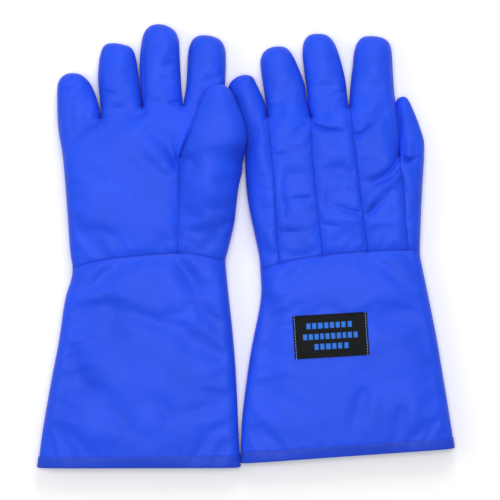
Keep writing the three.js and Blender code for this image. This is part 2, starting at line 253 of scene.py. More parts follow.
class PlanMesh:
    """A flat area cut into triangles that are small beside its outline and its seams.

    Attributes:
        free: outline stretches where the two sheets stay open.
        points: the triangles' corners.
        triangles: numbers of each triangle's corners, counter-clockwise.
        centres: the triangles' middles.
        joined: whether each point is where the two sheets are sewn together.
    """

    def __init__(
        self,
        joined: list[np.ndarray],
        free: list[np.ndarray],
        seams: list[np.ndarray],
        grid: float = GRID,
        ladder: tuple[float, ...] = LADDER,
    ) -> None:
        """Cuts the area up.

        Args:
            joined: outline stretches where the two sheets are sewn together.
            free: outline stretches where they stay open, each after its joined one.
            seams: lines inside the area that triangles don't cross.
            grid: side of the triangles.
            ladder: distances of the rows of points beside each line.
        """
        stretches = [s for pair in zip(joined, free) for s in pair]
        polygon = np.vstack([s[:-1] for s in stretches])
        self.free = free
        lines = stretches + seams
        beside, keep = [np.empty((0, 2))], [np.empty(0)]
        for line in lines:
            for offset in (side * step for step in ladder for side in (1, -1)):
                beside.append(self._beside(line, offset))
                keep.append(np.full(len(line) - 2, ROW_CLEARANCE * abs(offset)))
        low, high = polygon.min(0), polygon.max(0)
        across = np.arange(low[0], high[0], grid)
        up = np.arange(low[1], high[1], grid * math.sqrt(0.75))
        lattice = np.array([(x + grid / 2 * (j % 2), y) for j, y in enumerate(up) for x in across])
        clear = (ladder[-1] if ladder else 0.0) + GRID_CLEARANCE * grid
        extra = np.vstack([*beside, lattice])
        keep = np.concatenate([*keep, np.full(len(lattice), clear)])
        extra_in = inside(extra, polygon)
        extra, keep = extra[extra_in], keep[extra_in]
        reach = np.min([nearest_on(extra, line)[0] for line in lines], axis=0)
        extra = extra[reach > keep]
        points, edges = [], []
        for line in lines:
            edges.extend((len(points) + i, len(points) + i + 1) for i in range(len(line) - 1))
            points.extend(line)
        merge = 1e-3
        cut = geometry.delaunay_2d_cdt([Vector(p) for p in [*points, *extra]], edges, [], 0, merge, False)
        vertices = np.array([tuple(v) for v in cut[0]])
        triangles = np.array([f for f in cut[2] if len(f) == 3])
        corners = vertices[triangles]
        area = np.cross(corners[:, 1] - corners[:, 0], corners[:, 2] - corners[:, 0]) / 2
        triangles[area < 0] = triangles[area < 0][:, ::-1]
        sliver = 1e-4
        triangles = triangles[(np.abs(area) > sliver) & inside(corners.mean(1), polygon)]
        used, self.triangles = np.unique(triangles, return_inverse=True)
        self.triangles = self.triangles.reshape(-1, 3)
        self.points = vertices[used]
        self.centres = self.points[self.triangles].mean(1)
        to_joined = np.min([nearest_on(self.points, line)[0] for line in joined], axis=0)
        on_seam = 0.02
        self.joined = to_joined < on_seam

    @staticmethod
    def _beside(line: np.ndarray, offset: float) -> np.ndarray:
        """Returns the points of a line, without its ends, moved sideways."""
        run = line[2:] - line[:-2]
        run /= np.linalg.norm(run, axis=1)[:, None]
        return line[1:-1] + offset * np.column_stack([-run[:, 1], run[:, 0]])

    def cushion(self, reach: float = REACH) -> np.ndarray:
        """Works out how full the padding is at each point, as a membrane over soft padding.

        Args:
            reach: distance from a sewn edge over which the padding comes to its full height.

        Returns:
            A share from 0 at the side seam to nearly 1 in the middle of a wide part.
        """
        p, tri = self.points, self.triangles
        rows, columns, values = [], [], []
        diagonal, mass = np.zeros(len(p)), np.zeros(len(p))
        for a, b, c in ((0, 1, 2), (1, 2, 0), (2, 0, 1)):
            u, v = p[tri[:, a]] - p[tri[:, c]], p[tri[:, b]] - p[tri[:, c]]
            area2 = np.abs(u[:, 0] * v[:, 1] - u[:, 1] * v[:, 0])
            weight = 0.5 * np.einsum("ij,ij->i", u, v) / np.maximum(area2, TINY)
            for i, j in ((a, b), (b, a)):
                rows.append(tri[:, i])
                columns.append(tri[:, j])
                values.append(weight)
                diagonal += np.bincount(tri[:, i], weight, len(p))
            mass += np.bincount(tri[:, a], area2 / 6, len(p))
        rows, columns, values = (np.concatenate(x) for x in (rows, columns, values))
        diagonal += mass / reach**2
        open_ = ~self.joined

        def apply(x: np.ndarray) -> np.ndarray:
            """Returns the membrane's pull for a height at each point."""
            return np.where(open_, diagonal * x - np.bincount(rows, values * x[columns], len(p)), 0.0)

        height, rest = np.zeros(len(p)), np.where(open_, mass, 0.0)
        scaled = rest / diagonal
        step, power = scaled.copy(), float(rest @ scaled)
        goal = SOLVER_GOAL * power
        for _ in range(SOLVER_ROUNDS):
            pull = apply(step)
            share = power / float(step @ pull)
            height += share * step
            rest -= share * pull
            scaled = rest / diagonal
            power, last = float(rest @ scaled), power
            if power < goal:
                break
            step = scaled + power / last * step
        return np.sqrt(np.clip(height / reach**2, 0.0, 1.0))


class Skin:
    """The two sheets of cloth over a plan.

    Attributes:
        plan: the plan's triangles.
        points: the upper sheet's points, then the lower sheet's that are not on the side seam.
        triangles: numbers of each triangle's corners, outward on both sheets.
        loose: numbers of the plan's points that are not on the side seam.
        lower_index: for each of the plan's points, its number on the lower sheet.
        fullness: how full the padding is at each of the plan's points.
        shade: how dark the painted shade of the seams and folds is at each point, from 0 to 1.
    """

    def __init__(self, plan: PlanMesh, upper: np.ndarray, lower: np.ndarray) -> None:
        """Sews the sheets together along the plan's joined outline.

        Args:
            plan: the triangles.
            upper: the upper sheet's height at each point.
            lower: the lower sheet's height at each point.
        """
        count = len(plan.points)
        self.plan = plan
        self.fullness = np.zeros(0)
        loose = ~plan.joined
        self.lower_index = np.where(loose, count + np.cumsum(loose) - 1, np.arange(count))
        self.loose = np.flatnonzero(loose)
        self.points = np.vstack(
            [np.column_stack([plan.points, upper]), np.column_stack([plan.points, lower])[loose]]
        )
        self.triangles = np.vstack([plan.triangles, self.lower_index[plan.triangles[:, ::-1]]])
        self.shade = np.zeros(len(self.points))

    def sheet_of(self, sheet: Sheet) -> np.ndarray:
        """Returns the numbers of a sheet's points, without the side seam's."""
        upper, lower = self.loose, self.lower_index[self.loose]
        if sheet is Sheet.BOTH:
            return np.concatenate([upper, lower])
        return upper if sheet is Sheet.UPPER else lower

    def outward(self, index: np.ndarray) -> np.ndarray:
        """Returns 1 for points of the upper sheet and -1 for points of the lower one."""
        return np.where(index < len(self.plan.points), 1.0, -1.0)

    def fullness_at(self, index: np.ndarray) -> np.ndarray:
        """Returns how full the padding is at points of either sheet."""
        full = np.concatenate([self.fullness, self.fullness[self.loose]])
        return full[index]

    def sew(self, seam: Seam) -> None:
        """Pulls the padding down along a seam, with small gathers beside it."""
        line = smooth_path(seam.path, EDGE_STEP)
        index = self.sheet_of(seam.sheet)
        distance, along, side = nearest_on(self.points[index, :2], line)
        reach = 14.0
        near = distance < reach
        index, distance, along, side = index[near], distance[near], along[near], side[near]
        notch_share, notch_width, dip_share, dip_width = 0.55, 0.9, 0.45, 4.5
        notch = notch_share * np.exp(-distance / notch_width)
        valley = notch + dip_share * np.exp(-((distance / dip_width) ** 2))
        swell_share, swell_at, swell_width = 0.12, 6.0, 3.0
        swell = swell_share * np.exp(-(((distance - swell_at) / swell_width) ** 2))
        gather_length, other_side = 7.0, 3.1
        key = seam.depth + line[0, 0]
        spots = [Vector((a / gather_length, s * other_side, key)) for a, s in zip(along, side)]
        gather = np.array([noise.noise(spot) for spot in spots])
        fade, flat = 6.5, 1.3
        beside = np.exp(-((distance / fade) ** 2)) * (1 - np.exp(-((distance / flat) ** 2)))
        lift = seam.depth * (swell - valley) + 2.0 * seam.pucker * gather * beside
        self.points[index, 2] += self.outward(index) * lift * self.fullness_at(index)
        # Painted shade along the seam's line, on top of the shade that its valley casts.
        dark = seam.shade * np.exp(-((distance / SEAM_WIDTH) ** 2))
        self.shade[index] = np.maximum(self.shade[index], dark)

    def crease(self, fold: Fold) -> None:
        """Presses one fold into the upper sheet."""
        line = smooth_path(fold.path, EDGE_STEP)
        index = self.sheet_of(Sheet.UPPER)
        distance, along, side = nearest_on(self.points[index, :2], line)
        reach = 5 * fold.width
        near = distance < reach
        index, distance, along, side = index[near], distance[near], along[near], side[near]
        total = np.linalg.norm(np.diff(line, axis=0), axis=1).sum()
        t = along / total
        run_in, at_start, fade_from = 0.12, 0.35, 0.35
        fade = 1 - smoothstep((t - fade_from) / (1.0 - fade_from))
        strength = smoothstep(t / run_in + at_start) * fade**0.8
        spread = fold.width * (0.8 + 0.7 * t)
        hollow = np.exp(-((distance / spread) ** 2))
        ridge_at, ridge_width, ridge_share = 1.9, 1.3, 0.55
        ridge = np.exp(-(((distance * side - ridge_at * spread) / (ridge_width * spread)) ** 2))
        lift = FOLD_SCALE * fold.depth * (ridge_share * ridge - hollow) * strength
        self.points[index, 2] += lift * self.fullness_at(index)
        # Painted shade in the fold's depth, darker for a deeper fold.
        darkest_depth = 7.0
        line_width = 0.45 * fold.width
        darkness = min(1.0, fold.shade + fold.depth / darkest_depth)
        dark = darkness * np.exp(-((distance / line_width) ** 2)) * strength
        self.shade[index] = np.maximum(self.shade[index], dark)

    def ruffle(
        self,
        height: float,
        size: float,
        seed: float,
        stretch: float = 1.0,
        start: float = -400.0,
    ) -> None:
        """Gives both sheets a soft unevenness.

        Args:
            height: most that a point moves, up or down.
            size: distance between two swells.
            seed: picks the pattern.
            stretch: how much longer the swells are along X.
            start: Y from which the swells grow to their full height.
        """
        index = self.sheet_of(Sheet.BOTH)
        wide = size * stretch
        slow, growth = 60.0, 60.0
        spots = [Vector((x / wide, y / size, seed + z / slow)) for x, y, z in self.points[index]]
        swell = np.array([noise.noise(spot) for spot in spots])
        grown = smoothstep((self.points[index, 1] - start) / growth)
        self.points[index, 2] += height * swell * grown * self.fullness_at(index) ** 2

    def lay_down(self, floor: float = TABLE_GAP) -> None:
        """Keeps every point above the table and the upper sheet above the lower one."""
        upper, lower = self.loose, self.lower_index[self.loose]
        self.points[lower, 2] = np.maximum(self.points[lower, 2], floor)
        self.points[upper, 2] = np.maximum(self.points[upper, 2], self.points[lower, 2] + SHEET_GAP)

    def normals(self) -> np.ndarray:
        """Returns the smooth outward normal at each point."""
        corner = self.points[self.triangles]
        face = np.cross(corner[:, 1] - corner[:, 0], corner[:, 2] - corner[:, 0])
        total = np.zeros((len(self.points), 3))
        for corners in self.triangles.T:
            for axis in range(3):
                total[:, axis] += np.bincount(corners, face[:, axis], len(self.points))
        return total / np.maximum(np.linalg.norm(total, axis=1), 1e-12)[:, None]

    def cut(self, name: str, chosen: np.ndarray, normals: np.ndarray) -> bpy.types.Object:
        """Cuts one piece out of the skin.

        Args:
            name: the piece's name.
            chosen: which of the plan's triangles it has.
            normals: the whole skin's normals, which the piece keeps.

        Returns:
            The piece, in place in the frame.
        """
        triangles = self.triangles[np.concatenate([chosen, chosen])]
        used, triangles = np.unique(triangles, return_inverse=True)
        triangles = triangles.reshape(-1, 3)
        piece = new_piece(name, self.points[used], triangles.tolist())
        piece.data.normals_split_custom_set_from_vertices(normals[used].tolist())
        # The painted shade of the seams and folds goes with the piece.
        shade = piece.data.attributes.new("painted_crease_shade", "FLOAT", "POINT")
        shade.data.foreach_set("value", self.shade[used].astype(np.float32))
        return piece


def new_piece(name: str, points: np.ndarray, faces: Sequence[Sequence[int]]) -> bpy.types.Object:
    """Makes a smooth mesh object.

    Args:
        name: its name.
        points: vertices in millimetres.
        faces: vertex numbers of each face.

    Returns:
        The object, at the origin.
    """
    mesh = bpy.data.meshes.new(name)
    mesh.from_pydata((np.asarray(points) * MM).tolist(), [], faces)
    mesh.shade_smooth()
    piece = bpy.data.objects.new(name, mesh)
    bpy.context.scene.collection.objects.link(piece)
    return piece


def drop(piece: bpy.types.Object) -> None:
    """Removes an object that was only needed on the way."""
    mesh = piece.data
    bpy.data.objects.remove(piece)
    bpy.data.meshes.remove(mesh)


@dataclass(frozen=True)
class Swelling:
    """The cloth simulation that blows the padding up between its seams.

    Attributes:
        grid: side of the simulated triangles.
        pressure: air pressure inside the cloth.
        slack: share by which the cloth is longer than the form it starts from.
        frames: simulated frames.
        cap: most that a point may move.
        quality: steps that each frame is worked out in.
        mass: the cloth's mass.
        bending: how hard the cloth is to bend.
        stretching: how hard it is to stretch or to push together.
    """

    grid: float = 4.6
    pressure: float = 4.0
    slack: float = 0.03
    frames: int = 20
    cap: float = 2.6
    quality: int = 6
    mass: float = 0.25
    bending: float = 0.6
    stretching: float = 20.0

    def moves(self, coarse: Skin, sewn: list[tuple[np.ndarray, Sheet]]) -> np.ndarray:
        """Simulates the cloth.

        Args:
            coarse: the skin to swell, whose edges stay where they are.
            sewn: the seams that stay where they are too, each with its sheet.

        Returns:
            How far each point moves.
        """
        piece = new_piece("swelling_cloth", coarse.points, coarse.triangles.tolist())
        flat = coarse.plan.points
        pinned = [np.flatnonzero(coarse.plan.joined)]
        for line, sheet in [*sewn, *[(edge, Sheet.BOTH) for edge in coarse.plan.free]]:
            held = np.flatnonzero(nearest_on(flat, line)[0] < 2 * ON_LINE)
            if sheet is not Sheet.LOWER:
                pinned.append(held)
            if sheet is not Sheet.UPPER:
                pinned.append(coarse.lower_index[held])
        group = piece.vertex_groups.new(name="sewn")
        group.add(np.unique(np.concatenate(pinned)).tolist(), 1.0, "REPLACE")
        cloth = piece.modifiers.new("cloth", "CLOTH")
        settings = cloth.settings
        settings.use_pressure = True
        settings.uniform_pressure_force = self.pressure
        settings.vertex_group_mass = "sewn"
        settings.shrink_min = -self.slack
        settings.shrink_max = -self.slack
        settings.quality = self.quality
        settings.mass = self.mass
        settings.bending_stiffness = self.bending
        settings.tension_stiffness = self.stretching
        settings.compression_stiffness = self.stretching
        settings.effector_weights.gravity = 0.0
        cloth.collision_settings.use_collision = False
        scene = bpy.context.scene
        for tick in range(1, self.frames + 1):
            scene.frame_set(tick)
        result = piece.evaluated_get(bpy.context.evaluated_depsgraph_get())
        points = np.empty(3 * len(coarse.points))
        result.data.vertices.foreach_get("co", points)
        scene.frame_set(1)
        drop(piece)
        move = points.reshape(-1, 3) / MM - coarse.points
        size = np.maximum(np.linalg.norm(move, axis=1), TINY)
        return move * (self.cap * np.tanh(size / self.cap) / size)[:, None]

    def apply(self, coarse: Skin, fine: Skin, sewn: list[tuple[np.ndarray, Sheet]]) -> None:
        """Carries the simulated moves over from a coarse skin to a fine one.

        Args:
            coarse: the skin to simulate.
            fine: the skin that gets the moves, sideways only in part, so that its seams stay straight.
            sewn: the seams, each with its sheet.
        """
        neighbours, sideways = 6, 0.35
        move = self.moves(coarse, sewn)
        for sheet in (Sheet.UPPER, Sheet.LOWER):
            known = coarse.sheet_of(sheet)
            if sheet is Sheet.UPPER:
                known = np.concatenate([known, np.flatnonzero(coarse.plan.joined)])
            tree = kdtree.KDTree(len(known))
            for number, point in enumerate(coarse.points[known]):
                tree.insert((point[0], point[1], 0.0), number)
            tree.balance()
            index = fine.sheet_of(sheet)
            for target in index:
                x, y, _ = fine.points[target]
                found = tree.find_n((x, y, 0.0), neighbours)
                weight = np.array([1.0 / (d * d + 2.0) for _, _, d in found])
                shift = weight @ move[known[[n for _, n, _ in found]]] / weight.sum()
                fine.points[target] += shift * (sideways, sideways, 1.0)


def linear(code: str) -> tuple[float, float, float, float]:
    """Returns an sRGB hex colour, such as #3658E8, as linear values with full alpha."""
    parts = [int(code[i : i + 2], 16) / 255 for i in (1, 3, 5)]
    values = [c / 12.92 if c <= 0.04045 else ((c + 0.055) / 1.055) ** 2.4 for c in parts]
    return (*values, 1.0)


def add_node(tree: bpy.types.NodeTree, kind: str, settings: dict | None = None, **links) -> bpy.types.Node:
    """Adds one node.

    Args:
        tree: the tree it goes in.
        kind: its type name.
        settings: values by socket name or number, or by property name after a dot.
        links: output sockets by the input's name, with _ for a space, or input_N for input number N.

    Returns:
        The node.
    """
    node = tree.nodes.new(kind)
    for key, value in (settings or {}).items():
        if isinstance(key, str) and key.startswith("."):
            setattr(node, key[1:], value)
        else:
            node.inputs[key].default_value = value
    for key, output in links.items():
        place = int(key[6:]) if key.startswith("input_") else key.replace("_", " ")
        tree.links.new(output, node.inputs[place])
    return node


def new_material(name: str) -> tuple[bpy.types.Material, bpy.types.NodeTree]:
    """Returns a new node material with nothing in it, and its tree."""
    material = bpy.data.materials.new(name)
    material.use_nodes = True
    material.node_tree.nodes.clear()
    return material, material.node_tree


def finish_with(tree: bpy.types.NodeTree, shader: bpy.types.Node) -> None:
    """Ends a material's tree in a shader node."""
    add_node(tree, "ShaderNodeOutputMaterial", Surface=shader.outputs[0])


def wave_scale(pitch: float) -> float:
    """Returns a Wave Texture's scale for bands that are pitch millimetres apart."""
    return 2 * math.pi / (20 * pitch * MM)


@dataclass(frozen=True)
class CoatedNylon:
    """Plain-woven nylon with a water-resistant coating: smooth, satin, and faintly ribbed by its threads.

    Attributes:
        name: the material's name.
        colour: the cloth.
        crease: the colour of the painted shade in the depth of a seam or a fold, where no light comes.
        roughness: how broad its gloss is.
        thread_pitch: 0.35 on the real cloth, and drawn coarser so that the weave shows at all.
        cloud: size of the patches in which its colour varies.
        crinkle: size of its small unevennesses.
    """

    name: str = "coated_woven_nylon"
    colour: str = "#1E4CE2"
    crease: str = "#1335B4"
    roughness: float = 0.5
    thread_pitch: float = 1.0
    cloud: float = 38.0
    crinkle: float = 7.0

    def material(self) -> bpy.types.Material:
        """Builds the material."""
        material, tree = new_material(self.name)
        place = add_node(tree, "ShaderNodeTexCoord").outputs["Object"]
        cloudy = add_node(
            tree,
            "ShaderNodeTexNoise",
            {"Scale": 1 / (self.cloud * MM), "Detail": 2.0},
            Vector=place,
        )
        tint = add_node(
            tree,
            "ShaderNodeMapRange",
            {"From Min": 0.3, "From Max": 0.7, "To Min": 0.92, "To Max": 1.04},
            Value=cloudy.outputs["Fac"],
        )
        shaded = add_node(
            tree,
            "ShaderNodeHueSaturation",
            {"Color": linear(self.colour)},
            Value=tint.outputs[0],
        )
        # Painted shade: the cloth's colour is darkened towards the crease colour in the seams and folds.
        seam = add_node(tree, "ShaderNodeAttribute", {".attribute_name": "painted_crease_shade"})
        cloth = add_node(
            tree,
            "ShaderNodeMix",
            {".data_type": "RGBA", 7: linear(self.crease)},
            input_0=seam.outputs["Fac"],
            input_6=shaded.outputs[0],
        )
        height = self._threads(tree, place)
        crinkle = add_node(
            tree,
            "ShaderNodeTexNoise",
            {"Scale": 1 / (self.crinkle * MM), "Detail": 3.0},
            Vector=place,
        )
        soft = add_node(
            tree,
            "ShaderNodeBump",
            {"Strength": 0.22, "Distance": 0.9 * MM},
            Height=crinkle.outputs["Fac"],
        )
        woven = add_node(
            tree,
            "ShaderNodeBump",
            {"Strength": 0.12, "Distance": 0.12 * MM},
            Height=height,
            Normal=soft.outputs[0],
        )
        shader = add_node(
            tree,
            "ShaderNodeBsdfPrincipled",
            {"Roughness": self.roughness, "IOR": 1.46, "Specular IOR Level": 0.2, "Sheen Weight": 0.02},
            Base_Color=cloth.outputs[2],
            Normal=woven.outputs[0],
        )
        finish_with(tree, shader)
        return material

    def _threads(self, tree: bpy.types.NodeTree, place: bpy.types.NodeSocket) -> bpy.types.NodeSocket:
        """Returns the height of threads that cross each other."""
        bands = [
            add_node(
                tree,
                "ShaderNodeTexWave",
                {".bands_direction": axis, "Scale": wave_scale(self.thread_pitch), "Distortion": 0.4},
                Vector=place,
            )
            for axis in ("X", "Y")
        ]
        return add_node(
            tree,
            "ShaderNodeMath",
            {".operation": "MAXIMUM"},
            input_0=bands[0].outputs["Fac"],
            input_1=bands[1].outputs["Fac"],
        ).outputs[0]


@dataclass(frozen=True)
class BrushedFleece:
    """Polyester pile brushed on one face: matt, with short tufts that catch light at their tips.

    Attributes:
        name: the material's name.
        colour: the tips.
        depth: the colour of the painted shade between the tufts.
        tuft: distance between two tufts.
        patch: size of the patches in which the pile lies one way.
    """

    name: str = "brushed_polyester_fleece"
    colour: str = "#D3DAE6"
    depth: str = "#7F8AA6"
    tuft: float = 1.6
    patch: float = 9.0

    def material(self) -> bpy.types.Material:
        """Builds the material."""
        material, tree = new_material(self.name)
        place = add_node(tree, "ShaderNodeTexCoord").outputs["Object"]
        pile = add_node(
            tree, "ShaderNodeTexVoronoi", {"Scale": 1 / (self.tuft * MM), "Randomness": 1.0}, Vector=place
        )
        patchy = add_node(
            tree,
            "ShaderNodeTexNoise",
            {"Scale": 1 / (self.patch * MM), "Detail": 4.0},
            Vector=place,
        )
        mixed = add_node(
            tree,
            "ShaderNodeMath",
            {".operation": "MULTIPLY"},
            input_0=pile.outputs["Distance"],
            input_1=patchy.outputs["Fac"],
        )
        # Painted shade between the tufts, where the pile shadows itself, in patches.
        colour = add_node(
            tree,
            "ShaderNodeMix",
            {".data_type": "RGBA", 6: linear(self.colour), 7: linear(self.depth)},
            input_0=mixed.outputs[0],
        )
        bump = add_node(
            tree, "ShaderNodeBump", {"Strength": 0.8, "Distance": 0.5 * MM}, Height=pile.outputs["Distance"]
        )
        shader = add_node(
            tree,
            "ShaderNodeBsdfPrincipled",
            {"Roughness": 0.95, "IOR": 1.5, "Specular IOR Level": 0.2, "Sheen Weight": 0.5},
            Base_Color=colour.outputs[2],
            Normal=bump.outputs[0],
        )
        finish_with(tree, shader)
        return material


@dataclass(frozen=True)
class DamaskRibbon:
    """Satin-woven polyester label tape: near black, with a figure of light blue threads woven in.

    Attributes:
        name: the material's name.
        ground: the warp that makes the ground.
        figure: the weft that makes the bars.
        thread_pitch: 0.25 on the real tape, and drawn coarser so that the weave shows.
    """

    name: str = "damask_woven_polyester"
    ground: str = "#0B0D10"
    figure: str = "#2F70D2"
    thread_pitch: float = 0.8

    def material(self) -> bpy.types.Material:
        """Builds the material."""
        material, tree = new_material(self.name)
        place = add_node(tree, "ShaderNodeTexCoord").outputs["Object"]
        figure = add_node(tree, "ShaderNodeAttribute", {".attribute_name": "figure"})
        warp = add_node(
            tree,
            "ShaderNodeTexWave",
            {".bands_direction": "X", "Scale": wave_scale(self.thread_pitch)},
            Vector=place,
        )
        colour = add_node(
            tree,
            "ShaderNodeMix",
            {".data_type": "RGBA", 6: linear(self.ground), 7: linear(self.figure)},
            input_0=figure.outputs["Fac"],
        )
        bump = add_node(
            tree, "ShaderNodeBump", {"Strength": 0.35, "Distance": 0.15 * MM}, Height=warp.outputs["Fac"]
        )
        shader = add_node(
            tree,
            "ShaderNodeBsdfPrincipled",
            {"Roughness": 0.65, "IOR": 1.5, "Specular IOR Level": 0.14},
            Base_Color=colour.outputs[2],
            Normal=bump.outputs[0],
        )
        finish_with(tree, shader)
        return material


@dataclass(frozen=True)
class SpunThread:
    """Two-ply spun polyester sewing thread: soft gloss broken up by its twist.

    Attributes:
        name: the material's name.
        colour: the thread.
        dark: the colour of the painted shade in the groove between its plies.
        twist: distance from one ply to the next along the thread.
    """

    name: str = "spun_polyester_thread"
    colour: str = "#8DB2EC"
    dark: str = "#3F63B4"
    twist: float = 0.6

    def material(self) -> bpy.types.Material:
        """Builds the material."""
        material, tree = new_material(self.name)
        place = add_node(tree, "ShaderNodeTexCoord").outputs["Object"]
        twist = add_node(
            tree,
            "ShaderNodeTexWave",
            {".bands_direction": "DIAGONAL", "Scale": wave_scale(self.twist)},
            Vector=place,
        )
        # Painted shade in the grooves between the plies, in bands along the twist.
        colour = add_node(
            tree,
            "ShaderNodeMix",
            {".data_type": "RGBA", 6: linear(self.dark), 7: linear(self.colour)},
            input_0=twist.outputs["Fac"],
        )
        shader = add_node(
            tree,
            "ShaderNodeBsdfPrincipled",
            {"Roughness": 0.6, "IOR": 1.5, "Sheen Weight": 0.2},
            Base_Color=colour.outputs[2],
        )
        finish_with(tree, shader)
        return material


@dataclass(frozen=True)
class PaintedBoard:
    """White painted board under the gloves: matt and plain.

    Attributes:
        name: the material's name.
        colour: the paint.
    """

    name: str = "matt_painted_board"
    colour: str = "#FAFAFA"

    def material(self) -> bpy.types.Material:
        """Builds the material."""
        material, tree = new_material(self.name)
        shader = add_node(
            tree,
            "ShaderNodeBsdfPrincipled",
            {"Base Color": linear(self.colour), "Roughness": 0.9, "Specular IOR Level": 0.1},
        )
        finish_with(tree, shader)
        return material


@dataclass(frozen=True)
class Stitch:
    """A stitch.

    Attributes:
        pitch: distance from one stitch to the next.
        length: length of a stitch.
        thickness: thickness of the thread.
    """

    pitch: float
    length: float
    thickness: float


class StitchRow:
    """Geometry Nodes that lay stitches along a drawn line."""

    def __init__(self) -> None:
        """Builds the tree with its named inputs."""
        self.tree = bpy.data.node_groups.new("stitch_row", "GeometryNodeTree")
        face = self.tree.interface
        face.new_socket("Line", in_out="INPUT", socket_type="NodeSocketGeometry")
        for name in ("Pitch", "Length", "Thickness"):
            face.new_socket(name, in_out="INPUT", socket_type="NodeSocketFloat")
        face.new_socket("Thread", in_out="INPUT", socket_type="NodeSocketMaterial")
        face.new_socket("Stitches", in_out="OUTPUT", socket_type="NodeSocketGeometry")
        given = add_node(self.tree, "NodeGroupInput").outputs
        curve = add_node(self.tree, "GeometryNodeMeshToCurve", Mesh=given["Line"])
        spots = add_node(
            self.tree,
            "GeometryNodeCurveToPoints",
            {".mode": "LENGTH"},
            Curve=curve.outputs[0],
            Length=given["Pitch"],
        )
        size = add_node(
            self.tree,
            "ShaderNodeCombineXYZ",
            X=given["Thickness"],
            Y=given["Thickness"],
            Z=given["Length"],
        )
        bead = add_node(self.tree, "GeometryNodeMeshUVSphere", {"Segments": 8, "Rings": 6, "Radius": 0.5})
        laid = add_node(
            self.tree,
            "GeometryNodeInstanceOnPoints",
            Points=spots.outputs["Points"],
            Instance=bead.outputs["Mesh"],
            Rotation=spots.outputs["Rotation"],
            Scale=size.outputs[0],
        )
        real = add_node(self.tree, "GeometryNodeRealizeInstances", Geometry=laid.outputs[0])
        smooth = add_node(self.tree, "GeometryNodeSetShadeSmooth", Geometry=real.outputs[0])
        dressed = add_node(
            self.tree, "GeometryNodeSetMaterial", Geometry=smooth.outputs[0], Material=given["Thread"]
        )
        add_node(self.tree, "NodeGroupOutput", Stitches=dressed.outputs[0])

    def lay(
        self,
        name: str,
        line: np.ndarray,
        thread: bpy.types.Material,
        stitch: Stitch,
    ) -> bpy.types.Object:
        """Lays one row of stitches.

        Args:
            name: the row's name.
            line: points in millimetres that the row follows.
            thread: its material.
            stitch: the size of its stitches.

        Returns:
            The row as a plain mesh.
        """
        mesh = bpy.data.meshes.new("stitch_line")
        mesh.from_pydata((line * MM).tolist(), [(i, i + 1) for i in range(len(line) - 1)], [])
        guide = bpy.data.objects.new("stitch_line", mesh)
        bpy.context.scene.collection.objects.link(guide)
        modifier = guide.modifiers.new("stitches", "NODES")
        modifier.node_group = self.tree
        sizes = {"Pitch": stitch.pitch, "Length": stitch.length, "Thickness": stitch.thickness}
        values = {"Thread": thread, **{key: size * MM for key, size in sizes.items()}}
        for item in self.tree.interface.items_tree:
            if item.in_out == "INPUT" and item.name in values:
                modifier[item.identifier] = values[item.name]
        graph = bpy.context.evaluated_depsgraph_get()
        made = bpy.data.meshes.new_from_object(guide.evaluated_get(graph), depsgraph=graph)
        made.name = name
        drop(guide)
        row = bpy.data.objects.new(name, made)
        bpy.context.scene.collection.objects.link(row)
        return row


@dataclass(frozen=True)
class Finishes:
    """The materials that the gloves are made of.

    Attributes:
        shell: the outer cloth.
        hem: the same cloth, turned over the mouth and a little darker.
        lining: the fleece inside.
        label: the woven label.
        thread: the light thread that holds the label.
        shell_thread: the blue thread that sews the hem.
    """

    shell: bpy.types.Material = field(default_factory=lambda: CoatedNylon().material())
    hem: bpy.types.Material = field(
        default_factory=lambda: CoatedNylon(name="turned_nylon_hem", colour="#1C43C8").material()
    )
    lining: bpy.types.Material = field(default_factory=lambda: BrushedFleece().material())
    label: bpy.types.Material = field(default_factory=lambda: DamaskRibbon().material())
    thread: bpy.types.Material = field(default_factory=lambda: SpunThread().material())
    shell_thread: bpy.types.Material = field(
        default_factory=lambda: SpunThread(
            # the darker colour is the painted shade in the groove between the plies
            name="spun_shell_thread", colour="#2F52D8", dark="#122C9A"
        ).material()
    )


